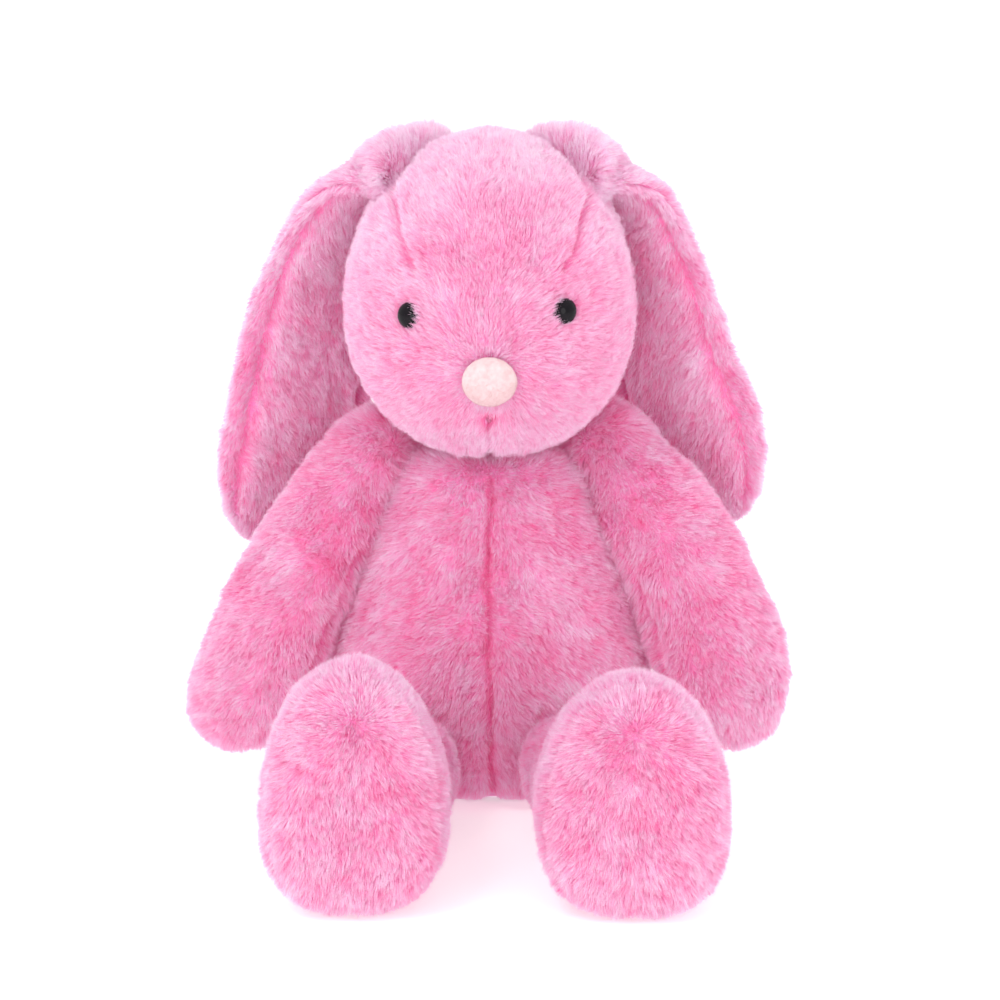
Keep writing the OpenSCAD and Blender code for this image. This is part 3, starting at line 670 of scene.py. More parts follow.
for key, node, a0, a1 in (
    ("torso_front_left", "torso_front_left", 270, 360),
    ("torso_front_right", "torso_front_right", 180, 270),
    ("torso_back_left", "torso_back_left", 0, 90),
    ("torso_back_right", "torso_back_right", 90, 180),
):
    us = np.linspace(0, 14, steps(168, CELL))
    g = torso_grid(us, np.linspace(a0 + 0.03, a1 - 0.03, steps(92, CELL)))
    line = np.stack([0 * g[..., 2], 0 * g[..., 2] + np.sign(g[..., 1]), g[..., 2] / 13.0], -1)
    g[..., 0] += 1.0 * noise3(line, 33) * np.exp(-((g[..., 0] / 16.0) ** 2)) * np.clip((122 - g[..., 2]) / 10, 0, 1)
    # seams run along the middle of the belly and back, and down the sides; each panel swells between them
    s = Patch(g, torso_comb, seams=(0, 0, 1, 1))
    s.seed = 3
    z = g[..., 2]
    swell = np.clip(np.minimum(s.seam / 16.0, 1), 0, 1)
    s.deep = 2.7 - 0.8 * swell
    # the sides fill out towards the arms
    s.deep = s.deep - 1.3 * np.exp(-((g[..., 1] / 26.0) ** 2)) * np.clip((z - 30) / 20, 0, 1) * np.clip((112 - z) / 20, 0, 1)
    s.seam = s.seam + 9 * np.clip((z - 124.5) / 3, 0, 1)
    s.groove = np.where(np.abs(g[..., 0]) < 20, 1.3 * np.clip((124 - z) / 8, 0, 1), 0.6)
    s.len = np.where(z > 122, 0.9, 1.0) * np.where(z < 6, 0.6, 1.0)
    s.up = 0.5 * np.exp(-((g[..., 1] / 20.0) ** 2)) + 0.6 * np.clip((z - 116) / 8, 0, 1)
    cover(key, node, "torso", s)
    grow("torso", s, seam_short=0.3, seam_tone=0.6)

# seat panel: the flat oval the toy sits on
ring = np.linspace(0.02, 1, steps(32, CELL * 1.4))
ang = np.linspace(0, 360, steps(200, CELL * 1.6))
a = np.radians(ang)
flat_top = np.stack([32.5 * ring[:, None] * np.cos(a), 27.5 * ring[:, None] * np.sin(a), np.zeros((len(ring), len(a)))], -1)


def slab_mesh(name, grid_low, grid_high):
    """Closed solid between two polar grids whose last column repeats the first."""
    n, m = grid_low.shape[:2]
    m -= 1
    lo, hi = grid_low[:, :m].reshape(-1, 3), grid_high[:, :m].reshape(-1, 3)
    k = n * m
    verts = np.concatenate([lo, hi, [grid_low[0, :m].mean(0)], [grid_high[0, :m].mean(0)]])
    f = []
    for i in range(n - 1):
        for j in range(m):
            j2 = (j + 1) % m
            f.append((i * m + j, i * m + j2, (i + 1) * m + j2, (i + 1) * m + j))
            f.append((k + i * m + j, k + (i + 1) * m + j, k + (i + 1) * m + j2, k + i * m + j2))
    for j in range(m):
        j2 = (j + 1) % m
        f.append((2 * k, j2, j))
        f.append((2 * k + 1, k + j, k + j2))
        e = (n - 1) * m
        f.append((e + j, e + j2, k + e + j2, k + e + j))
    return verts, f, k


tex = noise3(flat_top / 1.6, 5)
low_g = flat_top.copy()
low_g[..., 2] = 0.15 + 0.25 * (1 + tex)
low_g[0:1, :, 2] = 0.2
high_g = flat_top.copy()
high_g[..., 2] = 4.6
v, f, k = slab_mesh("seat", low_g, high_g)
seat = new_mesh("seat_panel", v, [tuple(reversed(x)) for x in f], {"tuft": np.concatenate([tex[:, :-1].reshape(-1), np.zeros(k + 2)])})
seat.data.materials.append(fur_skin)
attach(seat, "torso")
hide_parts("seat_panel")

# ------------------------------------------------------------------ closed rounded pieces
def sphere_grid(n, m):
    t = np.linspace(0.5, 179.5, n)
    a = np.linspace(0, 360, m + 1)[:-1]
    t, a = np.radians(t)[:, None], np.radians(a)[None]
    return np.stack([np.sin(t) * np.cos(a), np.sin(t) * np.sin(a), np.cos(t) * np.ones_like(a)], -1)


def closed_mesh(name, g, attr=None):
    """Closed solid from rings, with a point at each end."""
    n, m = g.shape[:2]
    verts = np.concatenate([g.reshape(-1, 3), [g[0].mean(0)], [g[-1].mean(0)]])
    f = []
    for i in range(n - 1):
        for j in range(m):
            j2 = (j + 1) % m
            f.append((i * m + j, (i + 1) * m + j, (i + 1) * m + j2, i * m + j2))
    for j in range(m):
        j2 = (j + 1) % m
        f.append((n * m, j, j2))
        f.append((n * m + 1, (n - 1) * m + j2, (n - 1) * m + j))
    c = verts.mean(0)
    a, b, d = (verts[f[0][x]] for x in range(3))
    mid = verts[list(f[(n // 2) * m])].mean(0)
    q = f[(n // 2) * m]
    nn = np.cross(verts[q[1]] - verts[q[0]], verts[q[2]] - verts[q[0]])
    if np.dot(nn, mid - c) < 0:
        f = [tuple(reversed(x)) for x in f]
    at_ = None
    if attr is not None:
        at_ = {"tuft": np.concatenate([attr.reshape(-1), [0, 0]])}
    return new_mesh(name, verts, f, at_)


def plain(o, mat, body, node):
    o.data.materials.append(mat)
    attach(o, body)
    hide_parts(node)
    return o


def lumpy(name, g, node, body, amp=1.1, mat=None):
    c = g.reshape(-1, 3).mean(0)
    d = unit(g - c)
    t = noise3(g / 6.0, 91) * 0.6 + noise3(g / 2.4, 92) * 0.4
    return plain(closed_mesh(name, g - d * (0.9 - amp * t * 0.8)[..., None], t), mat or fill_mat, body, node)


# tail: a round pompon
TAIL_C = np.array([0, 60.3, 28.0])
tg = sphere_grid(steps(56, CELL * 1.1), steps(113, CELL * 1.1) - 1)
th_pt = TAIL_C + tg * 18.0


def tail_comb(p, n):
    d = n * 0 + np.array([0, 0.3, -0.6])
    return d + unit(p - TAIL_C - np.array([0, -14, 0])) * 0.9


s = Patch(th_pt, tail_comb, seams=(0, 0, 0, 0), closed=True)
if (s.n * tg).sum() < 0:
    s.n = -s.n
s.seed = 9
dep, tf = skin_depth(s)
s.base = th_pt - s.n * dep[..., None]
s.dens = np.where(th_pt[..., 1] < 50, 0.0, 1.0)
cut = s.base.copy()
cut[..., 1] = np.maximum(cut[..., 1], 49.6)
plain(closed_mesh("tail_cover", cut, tf), fur_skin, "torso", "tail_cover")
grow("torso", s, lift0=12, lift1=45, length=7.6)
ts = TAIL_C + sphere_grid(20, 32) * 12.0
ts[..., 1] = np.maximum(ts[..., 1], 52.0)
lumpy("tail_stuffing", ts, "tail_stuffing", "torso", amp=0.6)

# ------------------------------------------------------------------ head
EYE_DIRS = {1: unit([28, -47.3, 8.7]), -1: unit([-30.0, -46.3, 6.8])}
EYES = [HEAD_C + d_ * head_r(d_) for d_ in EYE_DIRS.values()]
NOSE_P = HEAD_C + NOSE_DIR * head_r(NOSE_DIR)


def head_comb(p, n):
    away = p - (NOSE_P + np.array([0, 0, 2.0]))
    away = unit(away - n * (away * n).sum(-1, keepdims=True))
    back = np.clip((p[..., 1] - 5) / 30, 0, 1)[..., None]
    down = np.zeros_like(p)
    down[..., 2] = -1
    low = np.clip((150 - p[..., 2]) / 25, 0, 1)[..., None]
    d = away * (1 - back) + down * back + np.array([0, 0, -0.5]) * low * 0.5
    # the brow fur sweeps up and outwards from the middle
    brow = np.clip((p[..., 2] - 195) / 40, 0, 1)[..., None] * (1 - back)
    d = d + brow * np.stack([np.tanh(p[..., 0] / 20.0) * 0.5, 0 * p[..., 0], 0 * p[..., 0]], -1)
    return d


def gdir(t, b):
    t, b = np.radians(t), np.radians(b)
    return np.stack([np.sin(b), -np.cos(b) * np.cos(t), np.cos(b) * np.sin(t)], -1)


GT = np.array([-37, -30, -24, -15, -6, 4, 14, 25, 36, 47, 58, 69, 80, 92, 104, 117, 131, 146, 161, 176, 191, 206, 221, 232, 243], float)


def soften_face(s):
    """Fur is shorter round the eyes, nose and mouth."""
    for e in EYES:
        d = np.linalg.norm(s.p - e, axis=-1)
        s.len = s.len * (1 - 0.22 * np.exp(-((d / 7.0) ** 2)))
        s.dens = s.dens * (1 + 1.2 * np.exp(-((d / 6.5) ** 2)))
        s.deep = s.deep + 1.5 * np.exp(-((d / 7.0) ** 2))
        # painted shade in the hollow round each eye
        s.tone = s.tone - 0.4 * np.exp(-((d / 6.5) ** 2))
    d = np.linalg.norm(s.p - NOSE_P, axis=-1)
    s.len = s.len * (1 - 0.30 * np.exp(-((d / 16.0) ** 2)))
    s.deep = s.deep + 0.4 * np.exp(-((d / 9.0) ** 2))
    mz = s.p[..., 2] - 147.9
    mw = np.clip(1.5 + 0.33 * mz, 0.8, 3.4)
    m = np.exp(-((s.p[..., 0] / mw) ** 2)) * np.exp(-((mz / 3.6) ** 2)) * (s.p[..., 1] < -20)
    s.deep = s.deep + 3.7 * m
    # painted shade in the mouth's tuck and a little round it
    s.tone = s.tone - 2.4 * m - 0.3 * np.exp(-((s.p[..., 0] / 5.0) ** 2)) * np.exp(-(((mz - 1) / 4.5) ** 2)) * (s.p[..., 1] < -20)
    s.len = s.len * (1 - 0.45 * m)
    # cheeks comb flat and pale, with a little painted shade; painted light on the forehead, more on the top of the
    # head, and on the chin below the mouth; the seams show only on the forehead
    cheek = np.clip((np.abs(s.p[..., 0]) - 24) / 18, 0, 1) * np.clip((210 - s.p[..., 2]) / 20, 0, 1)
    s.tone = s.tone - 0.06 * cheek + 0.14 * np.clip((s.p[..., 2] - 192) / 22, 0, 1) + 0.08 * np.clip((s.p[..., 2] - 222) / 14, 0, 1) + 0.08 * np.clip((150 - s.p[..., 2]) / 8, 0, 1)
    s.up = s.up - 0.2 * cheek
    s.seam = s.seam + 9 * np.clip((204 - s.p[..., 2]) / 10, 0, 1) * (s.p[..., 1] < 10)


keep = [(e, 3.9, 1.45) for e in EYES] + [(NOSE_P, 8.2, 1.0)]
ts_ = np.interp(np.linspace(0, len(GT) - 1, steps(316, CELL)), np.arange(len(GT)), GT)
wid = tab(GUSSET, ts_)[:, None] - 0.06
bs = wid * np.linspace(-1, 1, steps(70, CELL))[None]
g = head_pt(gdir(ts_[:, None] * np.ones_like(bs), bs))
s = Patch(g, head_comb, seams=(0, 0, 1, 1), flip=True)
if ((s.p - HEAD_C) * s.n).sum() < 0:
    s.n = -s.n
s.seed = 4
s.groove = 1.5
soften_face(s)
cover("head_gusset", "head_gusset", "head", s)
grow("head", s, keep_out=keep, seam_short=0.5, length=4.6, clump=(0.8, 2.4), lift1=56, seam_tone=0.5, vary=0.62)

# one side of the face: rings from the cheek out to the seams
neck = 22.5
edge = (
    [gdir(t, tab(GUSSET, t) + 0.06) for t in GT]
    + [np.array([math.sin(math.radians(neck)) * math.cos(math.radians(q)), math.sin(math.radians(neck)) * math.sin(math.radians(q)), -math.cos(math.radians(neck))]) for q in range(76, -81, -26)]
    + [gdir(t, 0.04) for t in (-58, -48, -40)]
)
edge = np.array(edge + edge[:1])
seg = np.concatenate([[0], np.cumsum(np.linalg.norm(np.diff(edge, axis=0), axis=1))])
around = np.linspace(0, seg[-1], steps(340, CELL))
edge = np.stack([np.interp(around, seg, edge[:, q]) for q in range(3)], -1)
pole = unit([1, 0.1, -0.15])
for sgn, key in ((1, "face_left"), (-1, "face_right")):
    fr = np.linspace(0.015, 1, steps(80, CELL))
    d = unit(pole[None, None] * (1 - fr)[:, None, None] + edge[None] * fr[:, None, None])
    d[..., 0] *= sgn
    g = head_pt(d)
    s = Patch(g, head_comb, seams=(0, 1, 0, 0))
    if ((s.p - HEAD_C) * s.n).sum() < 0:
        s.n = -s.n
    s.seed = 4
    s.groove = 1.5
    nk = np.linalg.norm(g[..., :2] - np.array([0, -4]), axis=-1)
    s.seam = np.where((g[..., 2] < 156) & (g[..., 1] < 20), 9.0, s.seam)
    soften_face(s)
    s.dens = s.dens * np.where((g[..., 2] < 131.5) & (nk < 19), 0.3, 1.0)
    dep, tf = skin_depth(s)
    s.base = g - s.n * dep[..., None]
    inner = g - s.n * (s.deep + 3.2)[..., None]
    n_, m_ = g.shape[:2]
    v, f, k = slab_mesh(key, s.base, inner)
    q = f[(n_ // 2) * m_ * 2]
    q = f[2 * ((n_ // 2) * (m_ - 1)) + 0]
    nn = np.cross(v[q[1]] - v[q[0]], v[q[2]] - v[q[0]])
    if np.dot(nn, v[q[0]] - HEAD_C) < 0:
        f = [tuple(reversed(x)) for x in f]
    o = new_mesh(key, v, f, {"tuft": np.concatenate([tf[:, :-1].reshape(-1), np.zeros(k + 2)]), "seam": np.concatenate([np.exp(-((s.seam[:, :-1] / 2.6) ** 2)).reshape(-1), np.zeros(k + 2)])})
    plain(o, fur_skin, "head", key)
    grow("head", s, keep_out=keep, seam_short=0.5, length=4.6, clump=(0.8, 2.4), lift1=56, seam_tone=0.5, vary=0.62)

hg = HEAD_C + sphere_grid(48, 72) * (head_r(sphere_grid(48, 72)) - 7.4)[..., None]
hg[..., 2] = np.maximum(hg[..., 2], 135.0)
lumpy("head_stuffing", hg, "head_stuffing", "head")

# ------------------------------------------------------------------ ears
def ear_comb_of(t, w, r, front):
    def comb(p, n):
        rel = ((p - r[:, None, :3]) * w[:, None]).sum(-1) / np.maximum(r[:, 3], 4)[:, None]
        # the lining parts along its seam
        side = np.sign(rel) * np.where(np.abs(rel) > 0.7, 0.8, -0.2) if front else rel * 0.6
        return t[:, None] + w[:, None] * side[..., None]

    return comb


for side, tbl, sgn in (("left", EAR_L, 1), ("right", EAR_R, -1)):
    us = np.linspace(0, 11, steps(225, CELL))
    r, t, w, n = limb_frame(tbl, us)
    for face in ("back", "front"):
        # angles 0 to 180 are the back of a left ear and the front of a right one
        upper = (face == "back") == (sgn > 0)
        a0, a1 = (1, 179) if upper else (181, 359)
        an = np.linspace(a0, a1, steps(74, CELL))
        g = unfold(limb_grid(tbl, us, an, 0.9), t)
        twin = unfold(limb_grid(tbl, us, (360 - an) % 360, 0.9), t)
        inner_face = g if face == "front" else twin
        vv = inner_face - HEAD_C
        dd = unit(vv)
        rest = head_r(dd) - 3.0 + 4.0 * np.clip((us - 1.5) / 2.5, 0, 1)[:, None]
        lift = np.maximum(0, rest - np.linalg.norm(vv, axis=-1)) * np.clip(us / 1.3, 0, 1)[:, None] ** 0.7
        g = g + dd * lift[..., None]
        s = Patch(g, ear_comb_of(t, w, r, face == "front"), seams=(0, 1, 1, 1))
        c0 = r[:, None, :3] + dd * lift[..., None]
        if (s.n * (g - c0)).sum() < 0:
            s.n = -s.n
        s.seed = 6 if face == "back" else 7
        s.groove = 0.8
        s.deep = 2.3 + 0 * s.seam
        near = (us < 1.6)[:, None]
        s.deep = np.where(near, np.minimum(s.deep, 0.5 * r[:, 4:5]), s.deep)
        s.shell = np.where(near, np.clip(0.75 * r[:, 4:5] - s.deep, 0.3, 1.6), 1.6) + 0 * s.seam
        s.len = 0.95 + 0.35 * np.clip((2.6 - us) / 1.2, 0, 1)[:, None] + 0 * s.seam
        s.up = s.up + 0.45 * np.clip((2.6 - us) / 1.2, 0, 1)[:, None]
        # painted light: the ears lighter, the backs more than the linings, and more again near the root
        s.tone = s.tone + (0.2 if face == "back" else 0.08) + 0.12 * np.clip((4.0 - us) / 1.5, 0, 1)[:, None]
        s.seam = s.seam + 9 * np.clip((2.4 - us) / 0.8, 0, 1)[:, None]
        if face == "front":
            # the lining is set in from the edge: a seam runs a finger's width inside it
            x = np.abs(((g - c0) * w[:, None]).sum(-1)) / np.maximum(r[:, 3], 1)[:, None]
            rim = np.exp(-(((x - 0.70) / 0.07) ** 2)) * np.clip((us - 2.6) / 0.8, 0, 1)[:, None] * np.clip((10.0 - us) / 0.6, 0, 1)[:, None]
            s.deep = s.deep + 1.3 * rim + 0.6 * np.clip(1 - x / 0.7, 0, 1)
            there = np.clip((us - 2.4) / 0.8, 0, 1) * np.clip((10.2 - us) / 0.6, 0, 1)
            s.seam = np.minimum(s.seam, 9 - (9 - np.abs(x - 0.70) * r[:, 3:4]) * (there > 0.5)[:, None])
        o = cover(f"ear_{face}_{side}", f"ear_{face}_{side}", f"ear_{side}", s, thick=1.6)
        grow(f"ear_{side}", s, length=5.0 if face == "back" else 4.8, seam_tone=0.14)

# ------------------------------------------------------------------ arms
for side, tbl, sgn in (("left", ARM_L, 1), ("right", ARM_R, -1)):
    us = np.linspace(0, 11, steps(150, CELL))
    r, t, w, n = limb_frame(tbl, us)
    for face in ("outer", "inner"):
        upper = (face == "inner") == (sgn > 0)
        a0, a1 = (0.4, 179.6) if upper else (180.4, 359.6)
        g = unfold(limb_grid(tbl, us, np.linspace(a0, a1, steps(64, CELL))), t)

        def arm_comb(p, n_, t=t):
            return t[:, None] + n_ * 0 + np.array([0, 0, -0.25])

        s = Patch(g, arm_comb, seams=(0, 0, 1, 1))
        if (s.n * (g - r[:, None, :3])).sum() < 0:
            s.n = -s.n
        s.seed = 12 if side == "left" else 14
        s.groove = 1.7
        s.deep = 2.6 - 0.5 * np.clip(s.seam / 12, 0, 1)
        # near the narrow root the shell thins out
        s.deep = np.minimum(s.deep, 0.45 * r[:, 4:5])
        s.shell = np.clip(0.8 * r[:, 4:5] - s.deep, 0.3, 3.2) + 0 * s.seam
        if face == "inner":
            s.deep = s.deep - 1.2 * np.clip(us / 2, 0, 1)[:, None] * np.clip((8.5 - us) / 2, 0, 1)[:, None]
        s.len = 1 - 0.3 * np.clip((us - 9.8) / 1.0, 0, 1)[:, None] + 0 * s.seam
        s.up = s.up + 0.9 * np.clip((us - 9.0) / 1.5, 0, 1)[:, None] + 0.8 * np.clip((1.6 - us) / 1.2, 0, 1)[:, None]
        s.seam = s.seam + 9 * np.clip((4.5 - us) / 1.0, 0, 1)[:, None]
        # painted shade: the arm a little darker above the paw
        s.tone = s.tone - 0.05 * np.clip((8.5 - us) / 1.5, 0, 1)[:, None]
        s.len = s.len * (1 + 0.25 * np.clip((3.0 - us) / 1.5, 0, 1)[:, None])
        cover(f"arm_{face}_{side}", f"arm_{face}_{side}", f"arm_{side}", s)
        grow(f"arm_{side}", s)
    st = limb_grid([[*q[:3], max(q[3] - 7.5, 1), max(q[4] - 7.5, 1), *q[5:]] for q in tbl], np.linspace(2, 9.5, 44), np.linspace(0, 360, 41)[:-1])
    lumpy(f"arm_stuffing_{side}", st, f"arm_stuffing_{side}", f"arm_{side}")

# ------------------------------------------------------------------ legs
for side, tbl, sgn in (("left", LEG_L, 1), ("right", LEG_R, -1)):
    us = np.linspace(0, 9.2, steps(135, CELL))
    r = at(tbl, us)
    for face in ("outer", "inner"):
        right_half = (face == "outer") == (sgn > 0)
        a0, a1 = (-89.6, 89.6) if right_half else (90.4, 269.6)
        g = leg_grid(tbl, us, np.linspace(a0, a1, steps(95, CELL)))
        g[..., 2] = np.maximum(g[..., 2], 0.5)

        def leg_comb(p, n_):
            d = np.zeros_like(p)
            d[..., 1] = -1
            up = np.clip((p[..., 2] - 45) / 40, 0, 1)
            d[..., 2] = 0.35 * up - 0.25 * (1 - up)
            return d

        s = Patch(g, leg_comb, seams=(0, 0, 1, 1))
        cc = np.stack([r[:, 1], r[:, 0], r[:, 2]], -1)
        if (s.n * (g - cc[:, None])).sum() < 0:
            s.n = -s.n
        s.seed = 15
        s.groove = 1.4
        s.seam = s.seam + 9 * np.clip((us - 6.5) / 1.0, 0, 1)[:, None] * (g[..., 2] > 20)
        # painted light on the top of the foot
        s.tone = s.tone + 0.22 * np.clip((us - 6.0) / 1.5, 0, 1)[:, None] * np.clip((g[..., 2] - 45) / 25, 0, 1)
        toe = np.clip((us - 8.4) / 0.8, 0, 1)[:, None]
        s.deep = 2.5 + 1.2 * toe**2 + 0 * s.seam
        s.up = s.up + 0.8 * np.clip((us - 6.5) / 2.0, 0, 1)[:, None]
        s.len = s.len * (1 - 0.12 * np.clip((us - 6.5) / 2.0, 0, 1)[:, None])
        cover(f"leg_{face}_{side}", f"leg_{face}_{side}", f"leg_{side}", s)
        grow(f"leg_{side}", s, low=0.3)
    # sole: rings from its middle to the seam round its edge
    rr = at(tbl, np.array([9.2]))[0]
    fr = np.linspace(0.01, 1, steps(46, CELL))
    an = np.radians(np.linspace(0, 360, steps(250, CELL)))
    f_ = fr[:, None]
    oc, os_ = oval(an, 1.0)
    ex, ez = rr[3] * oc * (1 - rr[5] * os_), rr[4] * os_
    out = 10.0 * (1 - f_**4.0)
    g = np.stack([rr[1] + ex * f_, rr[0] - out + 2.2 * os_ * f_, rr[2] + ez * f_], -1)
    g[..., 2] = np.maximum(g[..., 2], 0.5)
    mid = np.array([rr[1], rr[0], rr[2]])

    def sole_comb(p, n_, mid=mid):
        # down and outwards from a whorl near the top of the toes
        return (p - mid) * np.array([0.026, 0, 0.030]) + np.array([0, 0, -0.82])

    s = Patch(g, sole_comb, seams=(0, 1, 0, 0))
    if s.n[..., 1].sum() > 0:
        s.n = -s.n
    s.seed = 16 if side == "left" else 18
    s.groove = 1.6
    s.deep = 2.6 + 0 * s.seam
    dep, tf = skin_depth(s)
    s.base = g - s.n * dep[..., None]
    s.base[..., 2] = np.maximum(s.base[..., 2], 0.3)
    inner = g - s.n * (s.deep + 3.4)[..., None]
    inner[..., 2] = np.maximum(inner[..., 2], 2.0)
    v, f, k = slab_mesh("sole", s.base, inner)
    m_ = g.shape[1] - 1
    q = f[2 * ((g.shape[0] // 2) * m_)]
    nn = np.cross(v[q[1]] - v[q[0]], v[q[2]] - v[q[0]])
    if nn[1] > 0:
        f = [tuple(reversed(x)) for x in f]
    o = new_mesh(f"sole_{side}", v, f, {"tuft": np.concatenate([tf[:, :-1].reshape(-1), np.zeros(k + 2)]), "seam": np.concatenate([np.exp(-((s.seam[:, :-1] / 2.6) ** 2)).reshape(-1), np.zeros(k + 2)])})
    plain(o, fur_skin, f"leg_{side}", f"sole_{side}")
    s.up = 0.25 + 0.5 * np.exp(-((np.linalg.norm(g - mid - np.array([0, -6, 27.3]), axis=-1) / 11.0) ** 2))
    # painted shade over the sole, with painted light towards its top
    s.tone = -0.04 + 0.18 * np.clip((g[..., 2] - 66) / 12, 0, 1)
    grow(f"leg_{side}", s, low=0.3, seam_short=0.35, length=4.9)
    lt = [[q[0], q[1], q[2], max(q[3] - 7.5, 1), max(q[4] - 7.5, 1), q[5]] for q in tbl]
    st = leg_grid(lt, np.linspace(2, 8.6, 44), np.linspace(0, 360, 49)[:-1])
    st[..., 2] = np.maximum(st[..., 2], 6.8)
    lumpy(f"leg_stuffing_{side}", st, f"leg_stuffing_{side}", f"leg_{side}")

# ------------------------------------------------------------------ torso filling, pouch and pellets
zs = np.linspace(33.5, 118, 60)
tt = np.asarray([q for q in TORSO if q[0] < 123], float)
an = np.radians(np.linspace(0, 360, 81)[:-1])
st = np.stack([
    (np.interp(zs, tt[:, 0], tt[:, 1])[:, None] - 7.6) * np.cos(an),
    np.interp(zs, tt[:, 0], tt[:, 3])[:, None] + (np.interp(zs, tt[:, 0], tt[:, 2])[:, None] - 7.6) * np.sin(an),
    zs[:, None] + 0 * an,
], -1)
dome = np.stack([np.stack([q * np.cos(an), 2 + q * np.sin(an), z + 0 * an], -1) for q, z in ((15.5, 121), (12.5, 124.2), (7, 126.5))])
lumpy("torso_stuffing", np.concatenate([st, dome]), "torso_stuffing", "torso")

g = sphere_grid(60, 96) * np.array([34.2, 34.2, 10.8]) + np.array([0, -2, 18.0])
pk = np.exp(-(((g[..., 2] - 18) / 1.6) ** 2))
g = g + unit(g - np.array([0, -2, 18.0])) * (0.4 * noise3(g / 3.0, 61))[..., None]
g[..., :2] = (g[..., :2] - np.array([0, -2])) * (1 + 0.02 * pk)[..., None] + np.array([0, -2])
plain(closed_mesh("pellet_pouch", g, noise3(g / 1.2, 62)), pouch_mat, "torso", "pellet_pouch")

ico_v, ico_f = [], []
prng = np.random.default_rng(5)
unit_g = sphere_grid(5, 8)
pts = []
for zz in (-4.6, 0.0, 4.6):
    lim = 31.5 * math.sqrt(max(0, 1 - (abs(zz) + 2.2) ** 2 / 9.9**2))
    for ix in range(-8, 9):
        for iy in range(-8, 9):
            x, y = ix * 4.7 + (iy % 2) * 2.3 + prng.uniform(-0.1, 0.1), iy * 4.2 + prng.uniform(-0.1, 0.1)
            if math.hypot(x, y) < lim - 2:
                pts.append((x, y - 2, 18 + zz))
for c in pts:
    base = len(ico_v)
    gg = unit_g * np.array([2.05, 2.05, 1.9]) + np.array(c)
    ico_v += gg.reshape(-1, 3).tolist() + [gg[0].mean(0).tolist(), gg[-1].mean(0).tolist()]
    n_, m_ = gg.shape[:2]
    for i in range(n_ - 1):
        for j in range(m_):
            j2 = (j + 1) % m_
            ico_f.append(tuple(base + x for x in (i * m_ + j, (i + 1) * m_ + j, (i + 1) * m_ + j2, i * m_ + j2)))
    for j in range(m_):
        j2 = (j + 1) % m_
        ico_f.append((base + n_ * m_, base + j, base + j2))
        ico_f.append((base + n_ * m_ + 1, base + (n_ - 1) * m_ + j2, base + (n_ - 1) * m_ + j))
plain(new_mesh("pellet_fill", ico_v, ico_f), pellet_mat, "torso", "pellet_fill")


# ------------------------------------------------------------------ thread, eyes, nose, mouth
def tube(name, path, radius, twist=6.0, sides=10, closed=False):
    """Two-ply twisted thread along a path."""
    path = np.asarray(path, float)
    t = unit(np.gradient(path, axis=0))
    ref = unit(np.cross(t, np.array([0.3, 0.2, 1.0])))
    bi = np.cross(t, ref)
    L = np.concatenate([[0], np.cumsum(np.linalg.norm(np.diff(path, axis=0), axis=1))])
    rings = []
    for k in range(len(path)):
        a = np.radians(np.linspace(0, 360, sides + 1)[:-1])
        rad = radius * (1 + 0.16 * np.cos(2 * (a - L[k] * twist)))
        rings.append(path[k] + (np.cos(a) * rad)[:, None] * ref[k] + (np.sin(a) * rad)[:, None] * bi[k])
    return closed_mesh(name, np.stack(rings))


a = np.radians(np.linspace(0, 360, 240))
wob = 0.5 * np.sin(a * 18)
neck_path = np.stack([(20.5 + 0.3 * np.cos(a * 18)) * np.cos(a), 2 + (20.5 + 0.3 * np.cos(a * 18)) * np.sin(a), 122.4 + wob], -1)
plain(tube("neck_stitch", neck_path[:-1], 0.7, twist=3.0), thread_mat, "torso", "neck_stitch")

mts = np.linspace(-31.2, -36.6, 40)
mp = head_pt(gdir(mts, 0 * mts), 3.4)
mp = mp + np.stack([0.25 * np.sin(mts * 2.2), 0 * mts, 0 * mts], -1)
plain(tube("mouth_stitch", mp, 0.55, twist=5.0), thread_mat, "head", "mouth_stitch")


def basis(d):
    z = unit(d)
    x = unit(np.cross([0, 0, 1.0], z))
    return x, np.cross(z, x), z


def revolve(name, prof, origin, d, sides=64, squash=(1, 1)):
    x, y, z = basis(d)
    a = np.radians(np.linspace(0, 360, sides + 1)[:-1])
    g = np.stack([origin + (np.cos(a) * r * squash[0])[:, None] * x + (np.sin(a) * r * squash[1])[:, None] * y + z * h for r, h in prof])
    return closed_mesh(name, g)


for sgn, side in ((1, "left"), (-1, "right")):
    d = EYE_DIRS[sgn]
    o = HEAD_C + d * (head_r(d) - 2.5)
    prof = [(0.3, -11.8), (1.5, -11.8), (1.6, -11.5), (1.6, -2.4), (4.0, -2.2), (4.55, -1.7), (4.75, -1.0), (4.75, -0.4)]
    prof += [(4.75 * math.cos(q), -0.4 + 2.7 * math.sin(q)) for q in np.radians(np.linspace(6, 88, 26))]
    plain(revolve(f"eye_{side}", prof, o, d), eye_mat, "head", f"eye_{side}")
    x, y, z = basis(d)
    a = np.radians(np.linspace(0, 360, 49)[:-1])
    ringp = [(1.75, -7.6), (5.7, -7.6), (6.0, -7.3), (6.0, -6.9), (5.7, -6.6), (3.2, -6.5), (2.9, -6.3), (1.75, -6.3)]
    g = np.stack([o + (np.cos(a) * r_)[:, None] * x + (np.sin(a) * r_)[:, None] * y + z * h for r_, h in ringp])
    nn_, mm_ = g.shape[:2]
    f = []
    for i in range(nn_):
        i2 = (i + 1) % nn_
        for j in range(mm_):
            j2 = (j + 1) % mm_
            f.append((i * mm_ + j, i * mm_ + j2, i2 * mm_ + j2, i2 * mm_ + j))
    plain(new_mesh(f"eye_washer_{side}", g.reshape(-1, 3), f), washer_mat, "head", f"eye_washer_{side}")

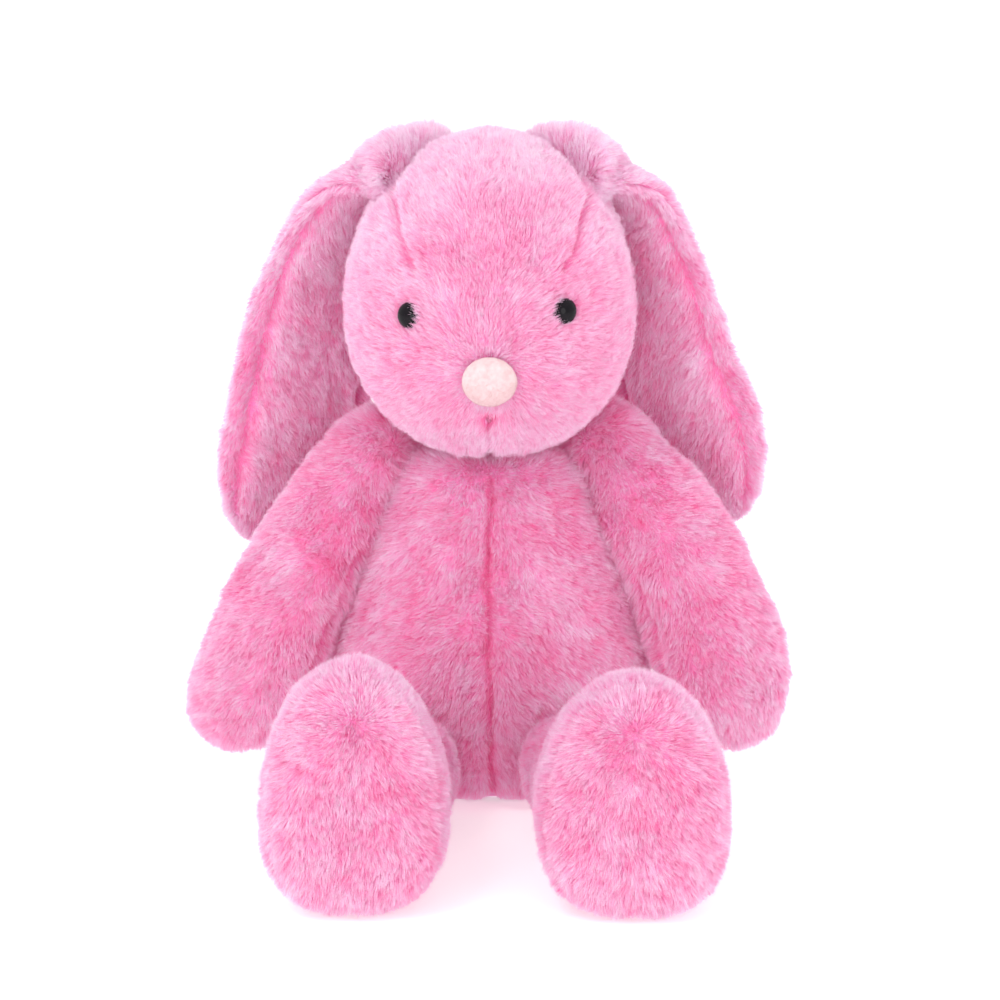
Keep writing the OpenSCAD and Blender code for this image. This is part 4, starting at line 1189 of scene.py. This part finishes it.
# nose: a padded dome of short-pile velour, gathered at its edge
x, y, z = basis(NOSE_DIR)
a = np.radians(np.linspace(0, 360, 145)[:-1])
prof = [(0.4, -2.4), (7.5, -2.4), (9.0, -1.8), (9.6, -0.8)] + [(9.7 * math.cos(q) ** 0.75, -0.2 + 4.9 * math.sin(q)) for q in np.radians(np.linspace(2, 87, 44))]
g = np.stack([NOSE_P + (np.cos(a) * r_ * 1.0)[:, None] * x + (np.sin(a) * r_ * 0.97)[:, None] * y + z * h for r_, h in prof])
puck = np.exp(-((((g - NOSE_P) @ z) + 1.6) / 0.9) ** 2)
g = g - unit(g - NOSE_P) * (puck * 0.2 * (1 + np.cos(a * 16)))[..., None]
nt_ = noise3(g / 1.0, 81)
g = g + unit(g - NOSE_P) * (0.03 * nt_ + 0.10 * noise3(g / 5.0, 82))[..., None]
plain(closed_mesh("nose_pad", g, nt_), nose_skin, "head", "nose_pad")


def nose_comb(p, n_):
    return np.zeros_like(p) + np.array([0.1, 0, -1.0])


s = Patch(g[3:], nose_comb, seams=(0, 0, 0, 0), closed=True)
if ((s.p - NOSE_P) * s.n).sum() < 0:
    s.n = -s.n
s.base = s.p
s.seed = 21
grow("head", s, density=46.0, length=0.95, lift0=8, lift1=24, radius=0.034, clump=(0.5, 2.5), pull=(0.05, 0.03), points=4, store="nose", stray=0.03)

# ------------------------------------------------------------------ fur objects
for body in ("torso", "head", "ear_left", "ear_right", "arm_left", "arm_right", "leg_left", "leg_right"):
    build_fur(f"fur_{body}", body, fur_hair)
build_fur("fur_nose", "head", nose_hair, key="nose")

# ------------------------------------------------------------------ floor, light and camera
me = bpy.data.meshes.new("floor")
me.from_pydata([(-6, -3, 0), (6, -3, 0), (6, 9, 0), (-6, 9, 0)], [], [(0, 1, 2, 3)])
floor = bpy.data.objects.new("floor", me)
bpy.context.scene.collection.objects.link(floor)
m, nt, nd, ln = nodes_of("pale_floor")
out = nd.new("ShaderNodeOutputMaterial")
b = nd.new("ShaderNodeBsdfPrincipled")
b.inputs["Roughness"].default_value = 0.7
b.inputs["Specular IOR Level"].default_value = 0.1
ln.new(mixed(nt, noise_node(nt, 3.0), (0.84, 0.84, 0.84), (0.87, 0.87, 0.87)), b.inputs["Base Color"])
b.inputs["Emission Color"].default_value = (1, 1, 1, 1)
b.inputs["Emission Strength"].default_value = 0.44
ln.new(b.outputs["BSDF"], out.inputs["Surface"])
me.materials.append(m)

world = bpy.data.worlds.new("studio")
bpy.context.scene.world = world
world.use_nodes = True
bg = world.node_tree.nodes["Background"]
bg.inputs["Color"].default_value = (1.0, 1.0, 1.0, 1)
bg.inputs["Strength"].default_value = 1.08


def lamp(name, place, target, size, power, colour=(1, 1, 1)):
    d = bpy.data.lights.new(name, "AREA")
    d.shape = "DISK"
    d.size = size
    d.energy = power
    d.color = colour
    o = bpy.data.objects.new(name, d)
    o.location = place
    from mathutils import Vector

    o.rotation_euler = (Vector(target) - Vector(place)).to_track_quat("-Z", "Y").to_euler()
    bpy.context.scene.collection.objects.link(o)


lamp("key", (-0.6, -1.0, 1.4), (0, -0.02, 0.12), 0.6, 6.5)
lamp("fill", (0.9, -1.5, 0.45), (0, -0.02, 0.10), 0.9, 3.8)
lamp("low", (-0.7, -1.6, 0.3), (0, -0.02, 0.08), 0.9, 5.0)

cam_data = bpy.data.cameras.new("camera")
cam_data.lens = 120.0
cam_data.sensor_width = 36.0
cam_data.clip_start = 0.05
cam = bpy.data.objects.new("camera", cam_data)
E = math.radians(14.0)
from mathutils import Vector

target = Vector((3.75 * MM, 0, 107.9 * MM))
cam.location = target + Vector((0, -math.cos(E), math.sin(E))) * 1.25
cam.rotation_euler = (target - cam.location).to_track_quat("-Z", "Y").to_euler()
bpy.context.scene.collection.objects.link(cam)
bpy.context.scene.camera = cam
bpy.context.scene.view_settings.view_transform = "Standard"
